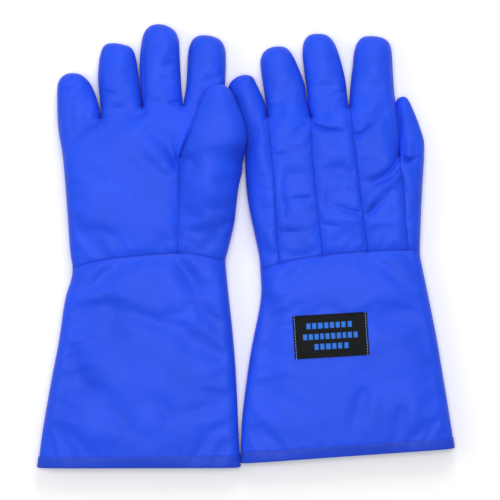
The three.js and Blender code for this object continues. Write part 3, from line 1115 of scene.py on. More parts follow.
@dataclass
class Glove:
    """One glove.

    Attributes:
        side: right or left, which starts the names of its bodies and nodes.
        left_edge: outline from the mouth's left end up to the little finger.
        right_edge: outline from the index finger down to the mouth's right end.
        digits: the four fingers, from left to right.
        root: ends of the thumb's root line, left end first.
        root_is_edge: whether the root line is part of the outline, so that the thumb grows from the side.
        thumb: the thumb.
        wrist: the seam between hand and cuff, from left to right.
        hem: the line where the hem band starts, from left to right.
        crown: Y and the height of the top.
        seams: the other seams.
        folds: the creases.
        gusset_rise: how far the thumb's root stands up over the palm.
        seed: picks the soft unevenness.
        wrinkle_start: Y from which the cloth has fine cross wrinkles.
        cuff_bend: Y where the cuff starts to turn at the wrist, and Y where it turns fully; not used.
        skin: the hand's and the cuff's skin, once it is shaped.
        thumb_skin: the thumb's skin, once it is shaped.
        pieces: the pieces made so far.
    """

    side: str
    left_edge: Path
    right_edge: Path
    digits: tuple[Digit, ...]
    root: Path
    root_is_edge: bool
    thumb: Thumb
    wrist: Path
    hem: Path
    crown: Path
    seams: tuple[Seam, ...]
    folds: tuple[Fold, ...]
    gusset_rise: float = 0.0
    seed: float = 1.0
    wrinkle_start: float = 70.0
    cuff_bend: tuple[float, float] = (10.0, -34.0)
    skin: Skin = field(init=False)
    thumb_skin: Skin = field(init=False)
    pieces: list[bpy.types.Object] = field(default_factory=list, init=False)

    def node(self, *names: str) -> list[str]:
        """Returns the full names of this glove's frame nodes."""
        return [f"{self.side}_{name}" for name in names]

    def body(self, name: str) -> str:
        """Returns the full name of one of this glove's bodies."""
        return f"{self.side}_{name}"

    @staticmethod
    def _across(start: np.ndarray, end: np.ndarray) -> np.ndarray:
        """Returns points on a straight line, closer together near its ends, where the form is round."""
        total = float(np.linalg.norm(end - start))
        near = np.array([0.0, *LADDER])
        middle = np.linspace(near[-1], total - near[-1], round(total / GRID))[1:-1]
        steps = np.concatenate([near, middle, (total - near)[::-1]]) / total
        return start + steps[:, None] * (end - start)

    def _outline(self) -> tuple[list[np.ndarray], list[np.ndarray]]:
        """Returns the joined and the free stretches of the hand's and the cuff's outline."""
        fingers = [smooth_path(d.outline, EDGE_STEP) for d in self.digits]
        left = smooth_path(self.left_edge, EDGE_STEP)
        right = smooth_path(self.right_edge, EDGE_STEP)
        mouth = self._across(right[-1], left[0])
        if not self.root_is_edge:
            return [np.vstack([left[:-1], *[f[:-1] for f in fingers], right])], [mouth]
        below = self.right_edge.index(self.root[1])
        top = smooth_path(self.right_edge[:below], EDGE_STEP)
        low = smooth_path(self.right_edge[below:], EDGE_STEP)
        upper = np.vstack([left[:-1], *[f[:-1] for f in fingers], top])
        return [upper, low], [self._across(top[-1], low[0]), mouth]

    def _all_seams(self) -> tuple[Seam, ...]:
        """Returns the wrist seam and the others."""
        return Seam(self.wrist, 1.7, Sheet.BOTH, 0.12), *self.seams

    def _sewn(self) -> list[tuple[np.ndarray, Sheet]]:
        """Returns the lines that are sewn down, each with its sheet."""
        return [(smooth_path(seam.path, EDGE_STEP), seam.sheet) for seam in self._all_seams()]

    def _parted(self) -> list[np.ndarray]:
        """Returns the lines where the skin is only parted: finger roots, hem line and thumb root."""
        lines = [smooth_path((d.outline[0], d.outline[-1]), EDGE_STEP) for d in self.digits]
        lines.append(self._across(*(np.array(p, float) for p in self.hem)))
        if not self.root_is_edge:
            lines.append(self._across(*(np.array(p, float) for p in self.root)))
        return lines

    def _root_y(self, x: np.ndarray) -> np.ndarray:
        """Returns the Y of the thumb's root line at each X."""
        (x0, y0), (x1, y1) = self.root
        return np.interp(x, (x0, x1), (y0, y1))

    def _form(self, plan: PlanMesh) -> Skin:
        """Gives the plan its thickness.

        Args:
            plan: the hand's and the cuff's plan.

        Returns:
            The skin before it is sewn and creased.
        """
        full = plan.cushion()
        x, y = plan.points.T
        top = np.interp(y, *np.array(self.crown).T)
        upper = SIDE_SEAM_Z + (top - SIDE_SEAM_Z) * full
        if self.gusset_rise:
            seam_x, edge_x = self.root[0][0], self.root[1][0] - 2.0
            share = np.clip((x - seam_x) / (edge_x - seam_x), 0.0, 1.0)
            start_y, climb_length, past_root, drop_length = -10.0, 76.0, 0.3, 8.0
            ramp = smoothstep((y - start_y) / climb_length)
            climb = ramp * (1 - smoothstep((y - self._root_y(x) - past_root) / drop_length))
            upper += self.gusset_rise * climb * np.sin(np.pi * share) ** 0.75
        belly = 1.3
        lower = SIDE_SEAM_Z - (SIDE_SEAM_Z - TABLE_GAP) * np.minimum(1.0, belly * full)
        skin = Skin(plan, upper, lower)
        skin.fullness = full
        return skin

    def _thumb_form(self, plan: PlanMesh) -> Skin:
        """Gives the thumb's plan its thickness, so that it grows out of the hand at its root line.

        Args:
            plan: the thumb's plan.

        Returns:
            The skin before it is creased.
        """
        thumb = self.thumb
        full = plan.cushion()
        x, y = plan.points.T
        outline = smooth_path(thumb.outline, EDGE_STEP)
        tip = int(outline[:, 1].argmax())
        left_x = np.interp(y, *outline[: tip + 1, ::-1].T)
        right_x = np.interp(y, *outline[tip:][::-1, ::-1].T)
        share = np.clip((x - left_x) / np.maximum(right_x - left_x, 1.0), 0.0, 1.0)
        stations, left_z, right_z = np.array(thumb.edges).T
        edge = (1 - share) * np.interp(y, stations, left_z) + share * np.interp(y, stations, right_z)
        upper = edge + (np.interp(y, *np.array(thumb.crown).T) - edge) * full
        roundness, root_length = 1.25, 20.0
        lower = edge - (edge - np.interp(y, *np.array(thumb.belly).T)) * np.minimum(1.0, roundness * full)
        away = smoothstep((y - self._root_y(x)) / root_length)
        hand_upper, hand_lower = self._root_heights(x)
        if thumb.root_drop is not None:
            hand_lower = np.minimum(hand_upper, np.maximum(hand_upper - thumb.root_drop, SIDE_SEAM_Z))
        upper = hand_upper + (upper - hand_upper) * away
        lower = hand_lower + (lower - hand_lower) * away
        upper = np.where(plan.joined, (upper + lower) / 2, upper)
        skin = Skin(plan, upper, np.minimum(lower, upper))
        skin.fullness = full * away
        return skin

    def _root_heights(self, x: np.ndarray) -> tuple[np.ndarray, np.ndarray]:
        """Returns the heights of the hand's two sheets on the thumb's root line at each X."""
        flat = self.skin.plan.points
        line = np.array(self.root, float)
        on_line = np.flatnonzero(nearest_on(flat, line)[0] < ON_LINE)
        on_line = on_line[flat[on_line, 0].argsort()]
        sheets = on_line, self.skin.lower_index[on_line]
        upper, lower = (np.interp(x, flat[on_line, 0], self.skin.points[s, 2]) for s in sheets)
        return upper, lower

    def shape(self) -> None:
        """Makes the skins: padding, cloth simulation, seams and folds."""
        joined, free = self._outline()
        sewn = self._sewn()
        lines = [line for line, _ in sewn]
        sharp = [smooth_path(f.path, EDGE_STEP) for f in self.folds if f.width < SHARP_FOLD]
        self.skin = self._form(PlanMesh(joined, free, lines + self._parted() + sharp))
        swelling = Swelling()
        coarse = self._form(PlanMesh(joined, free, lines, grid=swelling.grid, ladder=()))
        swelling.apply(coarse, self.skin, sewn)
        self.skin.ruffle(1.3, 42.0, self.seed)
        self.skin.ruffle(0.4, 13.0, self.seed + 7.0)
        self.skin.ruffle(1.3, 7.5, self.seed + 3.0, stretch=3.2, start=self.wrinkle_start)
        for seam in self._all_seams():
            self.skin.sew(seam)
        for fold in self.folds:
            self.skin.crease(fold)
        self.skin.lay_down()
        outline = smooth_path(self.thumb.outline, EDGE_STEP)
        root = self._across(outline[-1], outline[0])
        self.thumb_skin = self._thumb_form(PlanMesh([outline], [root], []))
        for fold in self.folds:
            self.thumb_skin.crease(fold)
        self.thumb_skin.lay_down()

    def _regions(self) -> dict[str, np.ndarray]:
        """Returns which of the plan's triangles each piece has."""
        centres = self.skin.plan.centres
        x, y = centres.T
        wrist = smooth_path(self.wrist, EDGE_STEP)
        hem = np.array(self.hem, float)
        below_wrist = y < np.interp(x, *wrist.T)
        below_hem = y < np.interp(x, *hem.T)
        regions = {"gauntlet": below_wrist & ~below_hem}
        taken = below_wrist.copy()
        for digit in self.digits:
            chosen = inside(centres, smooth_path(digit.outline, EDGE_STEP)) & ~taken
            regions[digit.name] = chosen
            taken |= chosen
        regions["hand"] = ~taken
        return regions

    def dress(self, finishes: Finishes, stitches: StitchRow) -> None:
        """Cuts the skins into their pieces, gives them their cloth and ties the hem band, its stitches and
        the lining to the cuff's body.
        """
        normals = self.skin.normals()
        regions = self._regions()
        strips = [f"back_strip_{d.name}" for d in self.digits]
        layers = ("insulation", "lining")
        stands_for = {
            "hand": ["palm_panel", "thumb_gusset", *strips, *[f"hand_{x}" for x in layers]],
            "gauntlet": ["gauntlet_palm_panel", "gauntlet_back_panel", "gauntlet_insulation"],
        }
        for name in ("hand", "gauntlet"):
            piece = self.skin.cut(f"{self.side}_{name}_padded_shell", regions[name], normals)
            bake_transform(piece)
            self._keep(piece, finishes.shell, stands_for[name])
        for digit in self.digits:
            piece = self.skin.cut(f"{self.side}_{digit.name}_padded_shell", regions[digit.name], normals)
            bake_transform(piece)
            nodes = [f"{digit.name}_shell", *[f"{digit.name}_{x}" for x in layers]]
            self._keep(piece, finishes.shell, nodes)
        whole = np.ones(len(self.thumb_skin.plan.triangles), bool)
        piece = self.thumb_skin.cut(f"{self.side}_thumb_padded_shell", whole, self._thumb_normals(normals))
        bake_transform(piece)
        nodes = ["thumb_shell", *[f"thumb_{x}" for x in layers]]
        self._keep(piece, finishes.shell, nodes)
        self._dress_mouth(finishes, stitches)

    def _thumb_normals(self, hand_normals: np.ndarray) -> np.ndarray:
        """Returns the thumb's normals, which are the hand's on the root line."""
        normals = self.thumb_skin.normals()
        flat = self.skin.plan.points
        line = np.array(self.root, float)
        on_hand = np.flatnonzero(nearest_on(flat, line)[0] < ON_LINE)
        mine = self.thumb_skin.plan.points
        for point in np.flatnonzero(nearest_on(mine, line)[0] < ON_LINE):
            match = on_hand[np.abs(flat[on_hand] - mine[point]).sum(1).argmin()]
            normals[point] = hand_normals[match]
        return normals

    def _keep(
        self,
        piece: bpy.types.Object,
        material: bpy.types.Material,
        nodes: list[str],
    ) -> None:
        """Dresses a piece, hides the frame nodes it stands for and keeps it.

        Args:
            piece: the piece.
            material: its material.
            nodes: frame nodes it stands for, without the side.
        """
        piece.data.materials.append(material)
        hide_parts(*self.node(*nodes))
        self.pieces.append(piece)

    def _ring_on(self, start: np.ndarray, end: np.ndarray) -> np.ndarray:
        """Returns the skin's points round a straight line across the cuff, upper sheet first."""
        flat = self.skin.plan.points
        line = np.vstack([start, end])
        on_line = np.flatnonzero(nearest_on(flat, line)[0] < ON_LINE)
        on_line = on_line[flat[on_line, 0].argsort()]
        upper, lower = on_line, self.skin.lower_index[on_line][::-1]
        return self.skin.points[np.concatenate([upper, lower[1:-1]])]

    @staticmethod
    def _inset(ring: np.ndarray, depth: float) -> np.ndarray:
        """Returns a closed ring of points moved inward across the cuff, or outward for a negative depth."""
        run = np.roll(ring, -1, axis=0) - np.roll(ring, 1, axis=0)
        inward = np.column_stack([run[:, 2], np.zeros(len(ring)), -run[:, 0]])
        inward /= np.maximum(np.linalg.norm(inward, axis=1), TINY)[:, None]
        return ring + depth * inward

    @staticmethod
    def _loft(name: str, rings: list[np.ndarray], close: bool) -> bpy.types.Object:
        """Joins rings of the same number of points into a tube.

        Args:
            name: the piece's name.
            rings: the rings in order.
            close: whether the last ring is closed by a point in its middle.

        Returns:
            The tube, with its faces outward when the rings go round clockwise seen from the first.
        """
        count = len(rings[0])
        faces = []
        for r in range(len(rings) - 1):
            for i in range(count):
                j = (i + 1) % count
                faces.append((r * count + i, r * count + j, (r + 1) * count + j, (r + 1) * count + i))
        points = np.vstack(rings)
        if close:
            last = (len(rings) - 1) * count
            faces += [(last + i, last + (i + 1) % count, len(points)) for i in range(count)]
            points = np.vstack([points, rings[-1].mean(0)[None]])
        return new_piece(name, points, faces)

    def _dress_mouth(self, finishes: Finishes, stitches: StitchRow) -> None:
        """Adds the hem band round the cuff's mouth, its stitches and the lining inside it."""
        hem_ends = [np.array(p, float) for p in (self.hem[0], self.hem[-1])]
        mouth_ends = [np.array(p, float) for p in (self.left_edge[0], self.right_edge[-1])]
        top, mouth = self._ring_on(*hem_ends), self._ring_on(*mouth_ends)
        count = min(len(top), len(mouth))
        top, mouth = (self._even_ring(r, count) for r in (top, mouth))
        rings = [self._inset(mouth + t * (top - mouth), depth) for t, depth in HEM_PROFILE]
        for ring in rings:
            ring[:, 2] = np.maximum(ring[:, 2], TABLE_GAP)
        band = self._loft(f"{self.side}_hem_band_turned", rings, close=False)
        self._shade_all(band, 0.0)
        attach(band, self.body("gauntlet"))
        self._keep(band, finishes.hem, ["hem_band"])
        up_the_band, proud = 0.8, 0.9
        sewn = self._inset(mouth + up_the_band * (top - mouth), -proud)
        sewn[:, 2] = np.maximum(sewn[:, 2], 2 * TABLE_GAP)
        name = f"{self.side}_hem_stitch_row"
        stitch = Stitch(pitch=3.0, length=2.3, thickness=0.5)
        row = stitches.lay(name, np.vstack([sewn, sewn[:1]]), finishes.shell_thread, stitch)
        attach(row, self.body("gauntlet"))
        self.pieces.append(row)
        lining = self._lining(mouth, top)
        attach(lining, self.body("gauntlet"))
        self._keep(lining, finishes.lining, ["gauntlet_lining"])

    @staticmethod
    def _even_ring(ring: np.ndarray, count: int) -> np.ndarray:
        """Returns a closed ring with count points at even distances along it, from the same first point."""
        closed = np.vstack([ring, ring[:1]])
        along = np.concatenate([[0.0], np.cumsum(np.linalg.norm(np.diff(closed, axis=0), axis=1))])
        even = np.linspace(0.0, along[-1], count, endpoint=False)
        return np.column_stack([np.interp(even, along, closed[:, axis]) for axis in range(3)])

    @staticmethod
    def _shade_all(piece: bpy.types.Object, value: float) -> None:
        """Gives a piece the same painted seam shade all over."""
        shade = piece.data.attributes.new("painted_crease_shade", "FLOAT", "POINT")
        shade.data.foreach_set("value", np.full(len(piece.data.vertices), value, np.float32))

    def _lining(self, mouth: np.ndarray, top: np.ndarray) -> bpy.types.Object:
        """Makes the fleece sleeve inside the cuff.

        Args:
            mouth: the ring of the outer skin at the mouth.
            top: the ring at the hem line.

        Returns:
            The sleeve, closed at its far end by the dark of the hand.
        """
        count, start, tuck, unevenness, swell_size, grow_in = 22, 0.03, 3.1, 0.8, 16.0, 6
        rings = []
        end_y = self._lining_end()
        mid_y = (mouth[:, 1].min() + mouth[:, 1].max()) / 2
        narrow = self._width_at(end_y) / self._width_at(mid_y)
        for step, t in enumerate(np.linspace(start, 1.0, count)):
            ring = self._inset(mouth + 0.5 * (top - mouth), tuck if step == 0 else WALL)
            middle = ring.mean(0)
            scale = 1 + (narrow - 1) * t
            ring[:, 0] = middle[0] + (ring[:, 0] - middle[0]) * scale + self._drift(t)
            ring[:, 1] += t * (end_y - mid_y)
            wobble = [unevenness * noise.noise(Vector(p / swell_size)) for p in ring]
            ring[:, 2] += np.array(wobble) * min(1.0, grow_in * t)
            rings.append(ring)
        last = rings[-1]
        middle = last.mean(0)
        for shrink in (0.7, 0.3):
            rings.append(middle + (last - middle) * (shrink, 1.0, shrink) + (0.0, 2.0, 0.0))
        lining = self._loft(f"{self.side}_gauntlet_fleece_lining", rings, close=True)
        lining.data.flip_normals()
        return lining

    def _lining_end(self) -> float:
        """Returns the Y where the lining's sleeve ends."""
        return min(p[1] for p in self.wrist) - LINING_BEYOND_WRIST

    def _edges_at(self, y: float) -> tuple[float, float]:
        """Returns the X of the cuff's two edges at a Y."""
        left = smooth_path(self.left_edge, EDGE_STEP)
        right = smooth_path(self.right_edge, EDGE_STEP)[::-1]
        return float(np.interp(y, left[:, 1], left[:, 0])), float(np.interp(y, right[:, 1], right[:, 0]))

    def _width_at(self, y: float) -> float:
        """Returns the width of the cuff's inside at a Y."""
        left, right = self._edges_at(y)
        return right - left - 2 * WALL

    def _drift(self, t: float) -> float:
        """Returns how far the cuff's middle line has moved sideways at a share of its length."""
        low, high = self.left_edge[0][1], self._lining_end()
        here, mouth = self._edges_at(low + t * (high - low)), self._edges_at(low)
        return (sum(here) - sum(mouth)) / 2

    def height_at(self, points: np.ndarray) -> np.ndarray:
        """Returns the upper sheet's height under plan points."""
        neighbours = 5
        tree = kdtree.KDTree(len(self.skin.loose))
        for number in self.skin.loose:
            x, y, _ = self.skin.points[number]
            tree.insert((x, y, 0.0), int(number))
        tree.balance()
        heights = []
        for x, y in points:
            found = tree.find_n((x, y, 0.0), neighbours)
            weight = np.array([1.0 / (d * d + 0.5) for _, _, d in found])
            heights.append(weight @ self.skin.points[[n for _, n, _ in found], 2] / weight.sum())
        return np.array(heights)


@dataclass
class Label:
    """The woven label, sewn on along its two short ends.

    Attributes:
        width: along the cuff's hem.
        height: towards the fingers.
        turn: angle it is sewn on at, in degrees.
        shift: from the middle of the frame's label to its own.
        step: side of its mesh squares.
        thickness: thickness of the folded tape.
        rows: rows of woven blocks, each the height of its middle, its start and its end, as shares of the
            label, and its number of blocks.
        block: height of a block as a share of the label's, and its width as a share of its place.
        stitch_lines: where its left and right rows of stitches run, as shares of its width.
        stitch: the stitches.
        smoothing: rounds in which the cloth's small bumps are taken out from under it.
        flare: how far its free ends stand off the cuff.
    """

    width: float = 65.2
    height: float = 37.8
    turn: float = 3.5
    shift: tuple[float, float] = (-1.2, 0.3)
    step: float = 0.5
    thickness: float = 0.7
    rows: tuple[tuple[float, float, float, int], ...] = (
        (0.74, 0.18, 0.81, 8), (0.49, 0.13, 0.88, 10), (0.26, 0.27, 0.75, 6),
    )
    block: tuple[float, float] = (0.13, 0.7)
    stitch_lines: tuple[float, float] = (0.022, 0.978)
    stitch: Stitch = Stitch(pitch=2.3, length=1.9, thickness=0.7)
    smoothing: int = 6
    flare: float = 0.35

    def place(self, share: np.ndarray) -> np.ndarray:
        """Returns plan points for shares of the label's width and height."""
        low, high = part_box("woven_label")
        middle = np.array([(low.x + high.x) / 2, (low.y + high.y) / 2]) / MM + self.shift
        along = (share - 0.5) * (self.width, self.height)
        angle = math.radians(self.turn)
        turned = np.array([[math.cos(angle), math.sin(angle)], [-math.sin(angle), math.cos(angle)]])
        return middle + along @ turned

    def build(self, glove: Glove, finishes: Finishes, stitches: StitchRow) -> list[bpy.types.Object]:
        """Lays the label on a glove's cuff.

        Args:
            glove: the glove that wears it.
            finishes: the materials.
            stitches: the node tree for its two rows of stitches.

        Returns:
            The label and its rows.
        """
        columns, rows = round(self.width / self.step), round(self.height / self.step)
        u, v = np.meshgrid(np.linspace(0, 1, columns + 1), np.linspace(0, 1, rows + 1))
        share = np.column_stack([u.ravel(), v.ravel()])
        flat = self.place(share)
        base = glove.height_at(flat)
        base = self._smoothed(base.reshape(rows + 1, columns + 1), self.smoothing).ravel()
        free_end = np.abs(share[:, 1] - 0.5) * 2
        lift = self.thickness + self.flare * np.sin(np.pi * share[:, 0]) * free_end**4
        top = np.column_stack([flat, base + lift])
        rim = self._rim(columns, rows)
        under = top[rim] - (0.0, 0.0, self.thickness + 0.6)
        wide = columns + 1
        corners = [r * wide + c for r in range(rows) for c in range(columns)]
        faces = [(i, i + 1, i + wide + 1, i + wide) for i in corners]
        start, count = len(top), len(rim)
        faces += [(rim[(i + 1) % count], rim[i], start + i, start + (i + 1) % count) for i in range(count)]
        piece = new_piece("woven_label_patch", np.vstack([top, under]), faces)
        figure = np.concatenate([self._figure(share), np.zeros(len(under))])
        attribute = piece.data.attributes.new("figure", "FLOAT", "POINT")
        attribute.data.foreach_set("value", figure.astype(np.float32))
        piece.data.materials.append(finishes.label)
        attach(piece, glove.body("gauntlet"))
        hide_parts("woven_label")
        made = [piece]
        up = np.linspace(0.02, 0.98, 40)
        for name, at, column in zip(("left", "right"), self.stitch_lines, (0, columns)):
            line = self.place(np.column_stack([np.full(len(up), at), up]))
            height = np.interp(up, np.linspace(0, 1, rows + 1), top[column::wide, 2])
            line = np.column_stack([line, height + 0.15])
            row = stitches.lay(f"label_stitch_row_{name}", line, finishes.thread, self.stitch)
            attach(row, glove.body("gauntlet"))
            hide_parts(f"label_stitches_{name}")
            made.append(row)
        return made

    def _figure(self, share: np.ndarray) -> np.ndarray:
        """Returns 1 where a woven block covers the label, and 0 elsewhere."""
        figure = np.zeros(len(share))
        high, wide = self.block
        for middle, first, last, count in self.rows:
            in_row = np.abs(share[:, 1] - middle) < high / 2
            place = (share[:, 0] - first) / (last - first) * count
            in_block = (place > 0) & (place < count) & (place % 1.0 < wide)
            figure[in_row & in_block] = 1.0
        return figure

    @staticmethod
    def _rim(columns: int, rows: int) -> list[int]:
        """Returns the numbers of a grid's outer points, counter-clockwise from its first."""
        width = columns + 1
        bottom = list(range(width))
        right = [r * width + columns for r in range(1, rows + 1)]
        top = [rows * width + c for c in range(columns - 1, -1, -1)]
        left = [r * width for r in range(rows - 1, 0, -1)]
        return bottom + right + top + left

    @staticmethod
    def _smoothed(grid: np.ndarray, rounds: int) -> np.ndarray:
        """Returns a grid of heights with its small bumps taken out."""
        for _ in range(rounds):
            padded = np.pad(grid, 1, mode="edge")
            grid = (padded[:-2, 1:-1] + padded[2:, 1:-1] + padded[1:-1, :-2] + padded[1:-1, 2:]) / 4
        return grid


@dataclass
class Studio:
    """The pale floor, the soft lights and the camera straight above.

    Attributes:
        view_width: width of the view on the table.
        view_middle: the point the camera looks down on.
        camera_height: height of the lens.
        plane: height at which view_width is measured.
        sensor: width of the camera's sensor.
        floor_reach: from the floor's middle to its sides.
        sky: strength of the white light from all round.
    """

    view_width: float = 440.0
    view_middle: tuple[float, float] = (3.7, -3.5)
    camera_height: float = 2200.0
    plane: float = 12.0
    sensor: float = 36.0
    floor_reach: float = 12000.0
    sky: float = 0.4

    def build(self) -> None:
        """Sets the studio up."""
        scene = bpy.context.scene
        scene.view_settings.view_transform = "Standard"
        square = np.array([(-1, -1, 0), (1, -1, 0), (1, 1, 0), (-1, 1, 0)])
        floor = new_piece("studio_floor", self.floor_reach * square, [(0, 1, 2, 3)])
        floor.data.materials.append(PaintedBoard().material())
        world = bpy.data.worlds.new("studio")
        world.use_nodes = True
        sky = world.node_tree.nodes["Background"].inputs
        sky["Color"].default_value = (1.0, 1.0, 1.0, 1.0)
        sky["Strength"].default_value = self.sky
        scene.world = world
        self._softbox("far_softbox", place=(150.0, 1300.0, 1100.0), size=700.0, power=8.5)
        self._softbox("left_softbox", place=(-1200.0, 200.0, 1100.0), size=700.0, power=4.0)
        self._softbox("overhead_softbox", place=(0.0, 0.0, 2000.0), size=900.0, power=20.0)
        lens = bpy.data.cameras.new("camera")
        lens.sensor_width = self.sensor
        lens.lens = self.sensor * (self.camera_height - self.plane) / self.view_width
        lens.clip_end = 50.0
        camera = bpy.data.objects.new("camera", lens)
        camera.location = Vector((*self.view_middle, self.camera_height)) * MM
        scene.collection.objects.link(camera)
        scene.camera = camera

    @staticmethod
    def _softbox(name: str, place: tuple[float, float, float], size: float, power: float) -> None:
        """Adds a square area light that faces the gloves.

        Args:
            name: its name.
            place: where it hangs.
            size: its side.
            power: its power in watts.
        """
        light = bpy.data.lights.new(name, "AREA")
        light.size = size * MM
        light.energy = power
        holder = bpy.data.objects.new(name, light)
        holder.location = Vector(place) * MM
        holder.rotation_euler = (-holder.location).to_track_quat("-Z", "Y").to_euler()
        bpy.context.scene.collection.objects.link(holder)


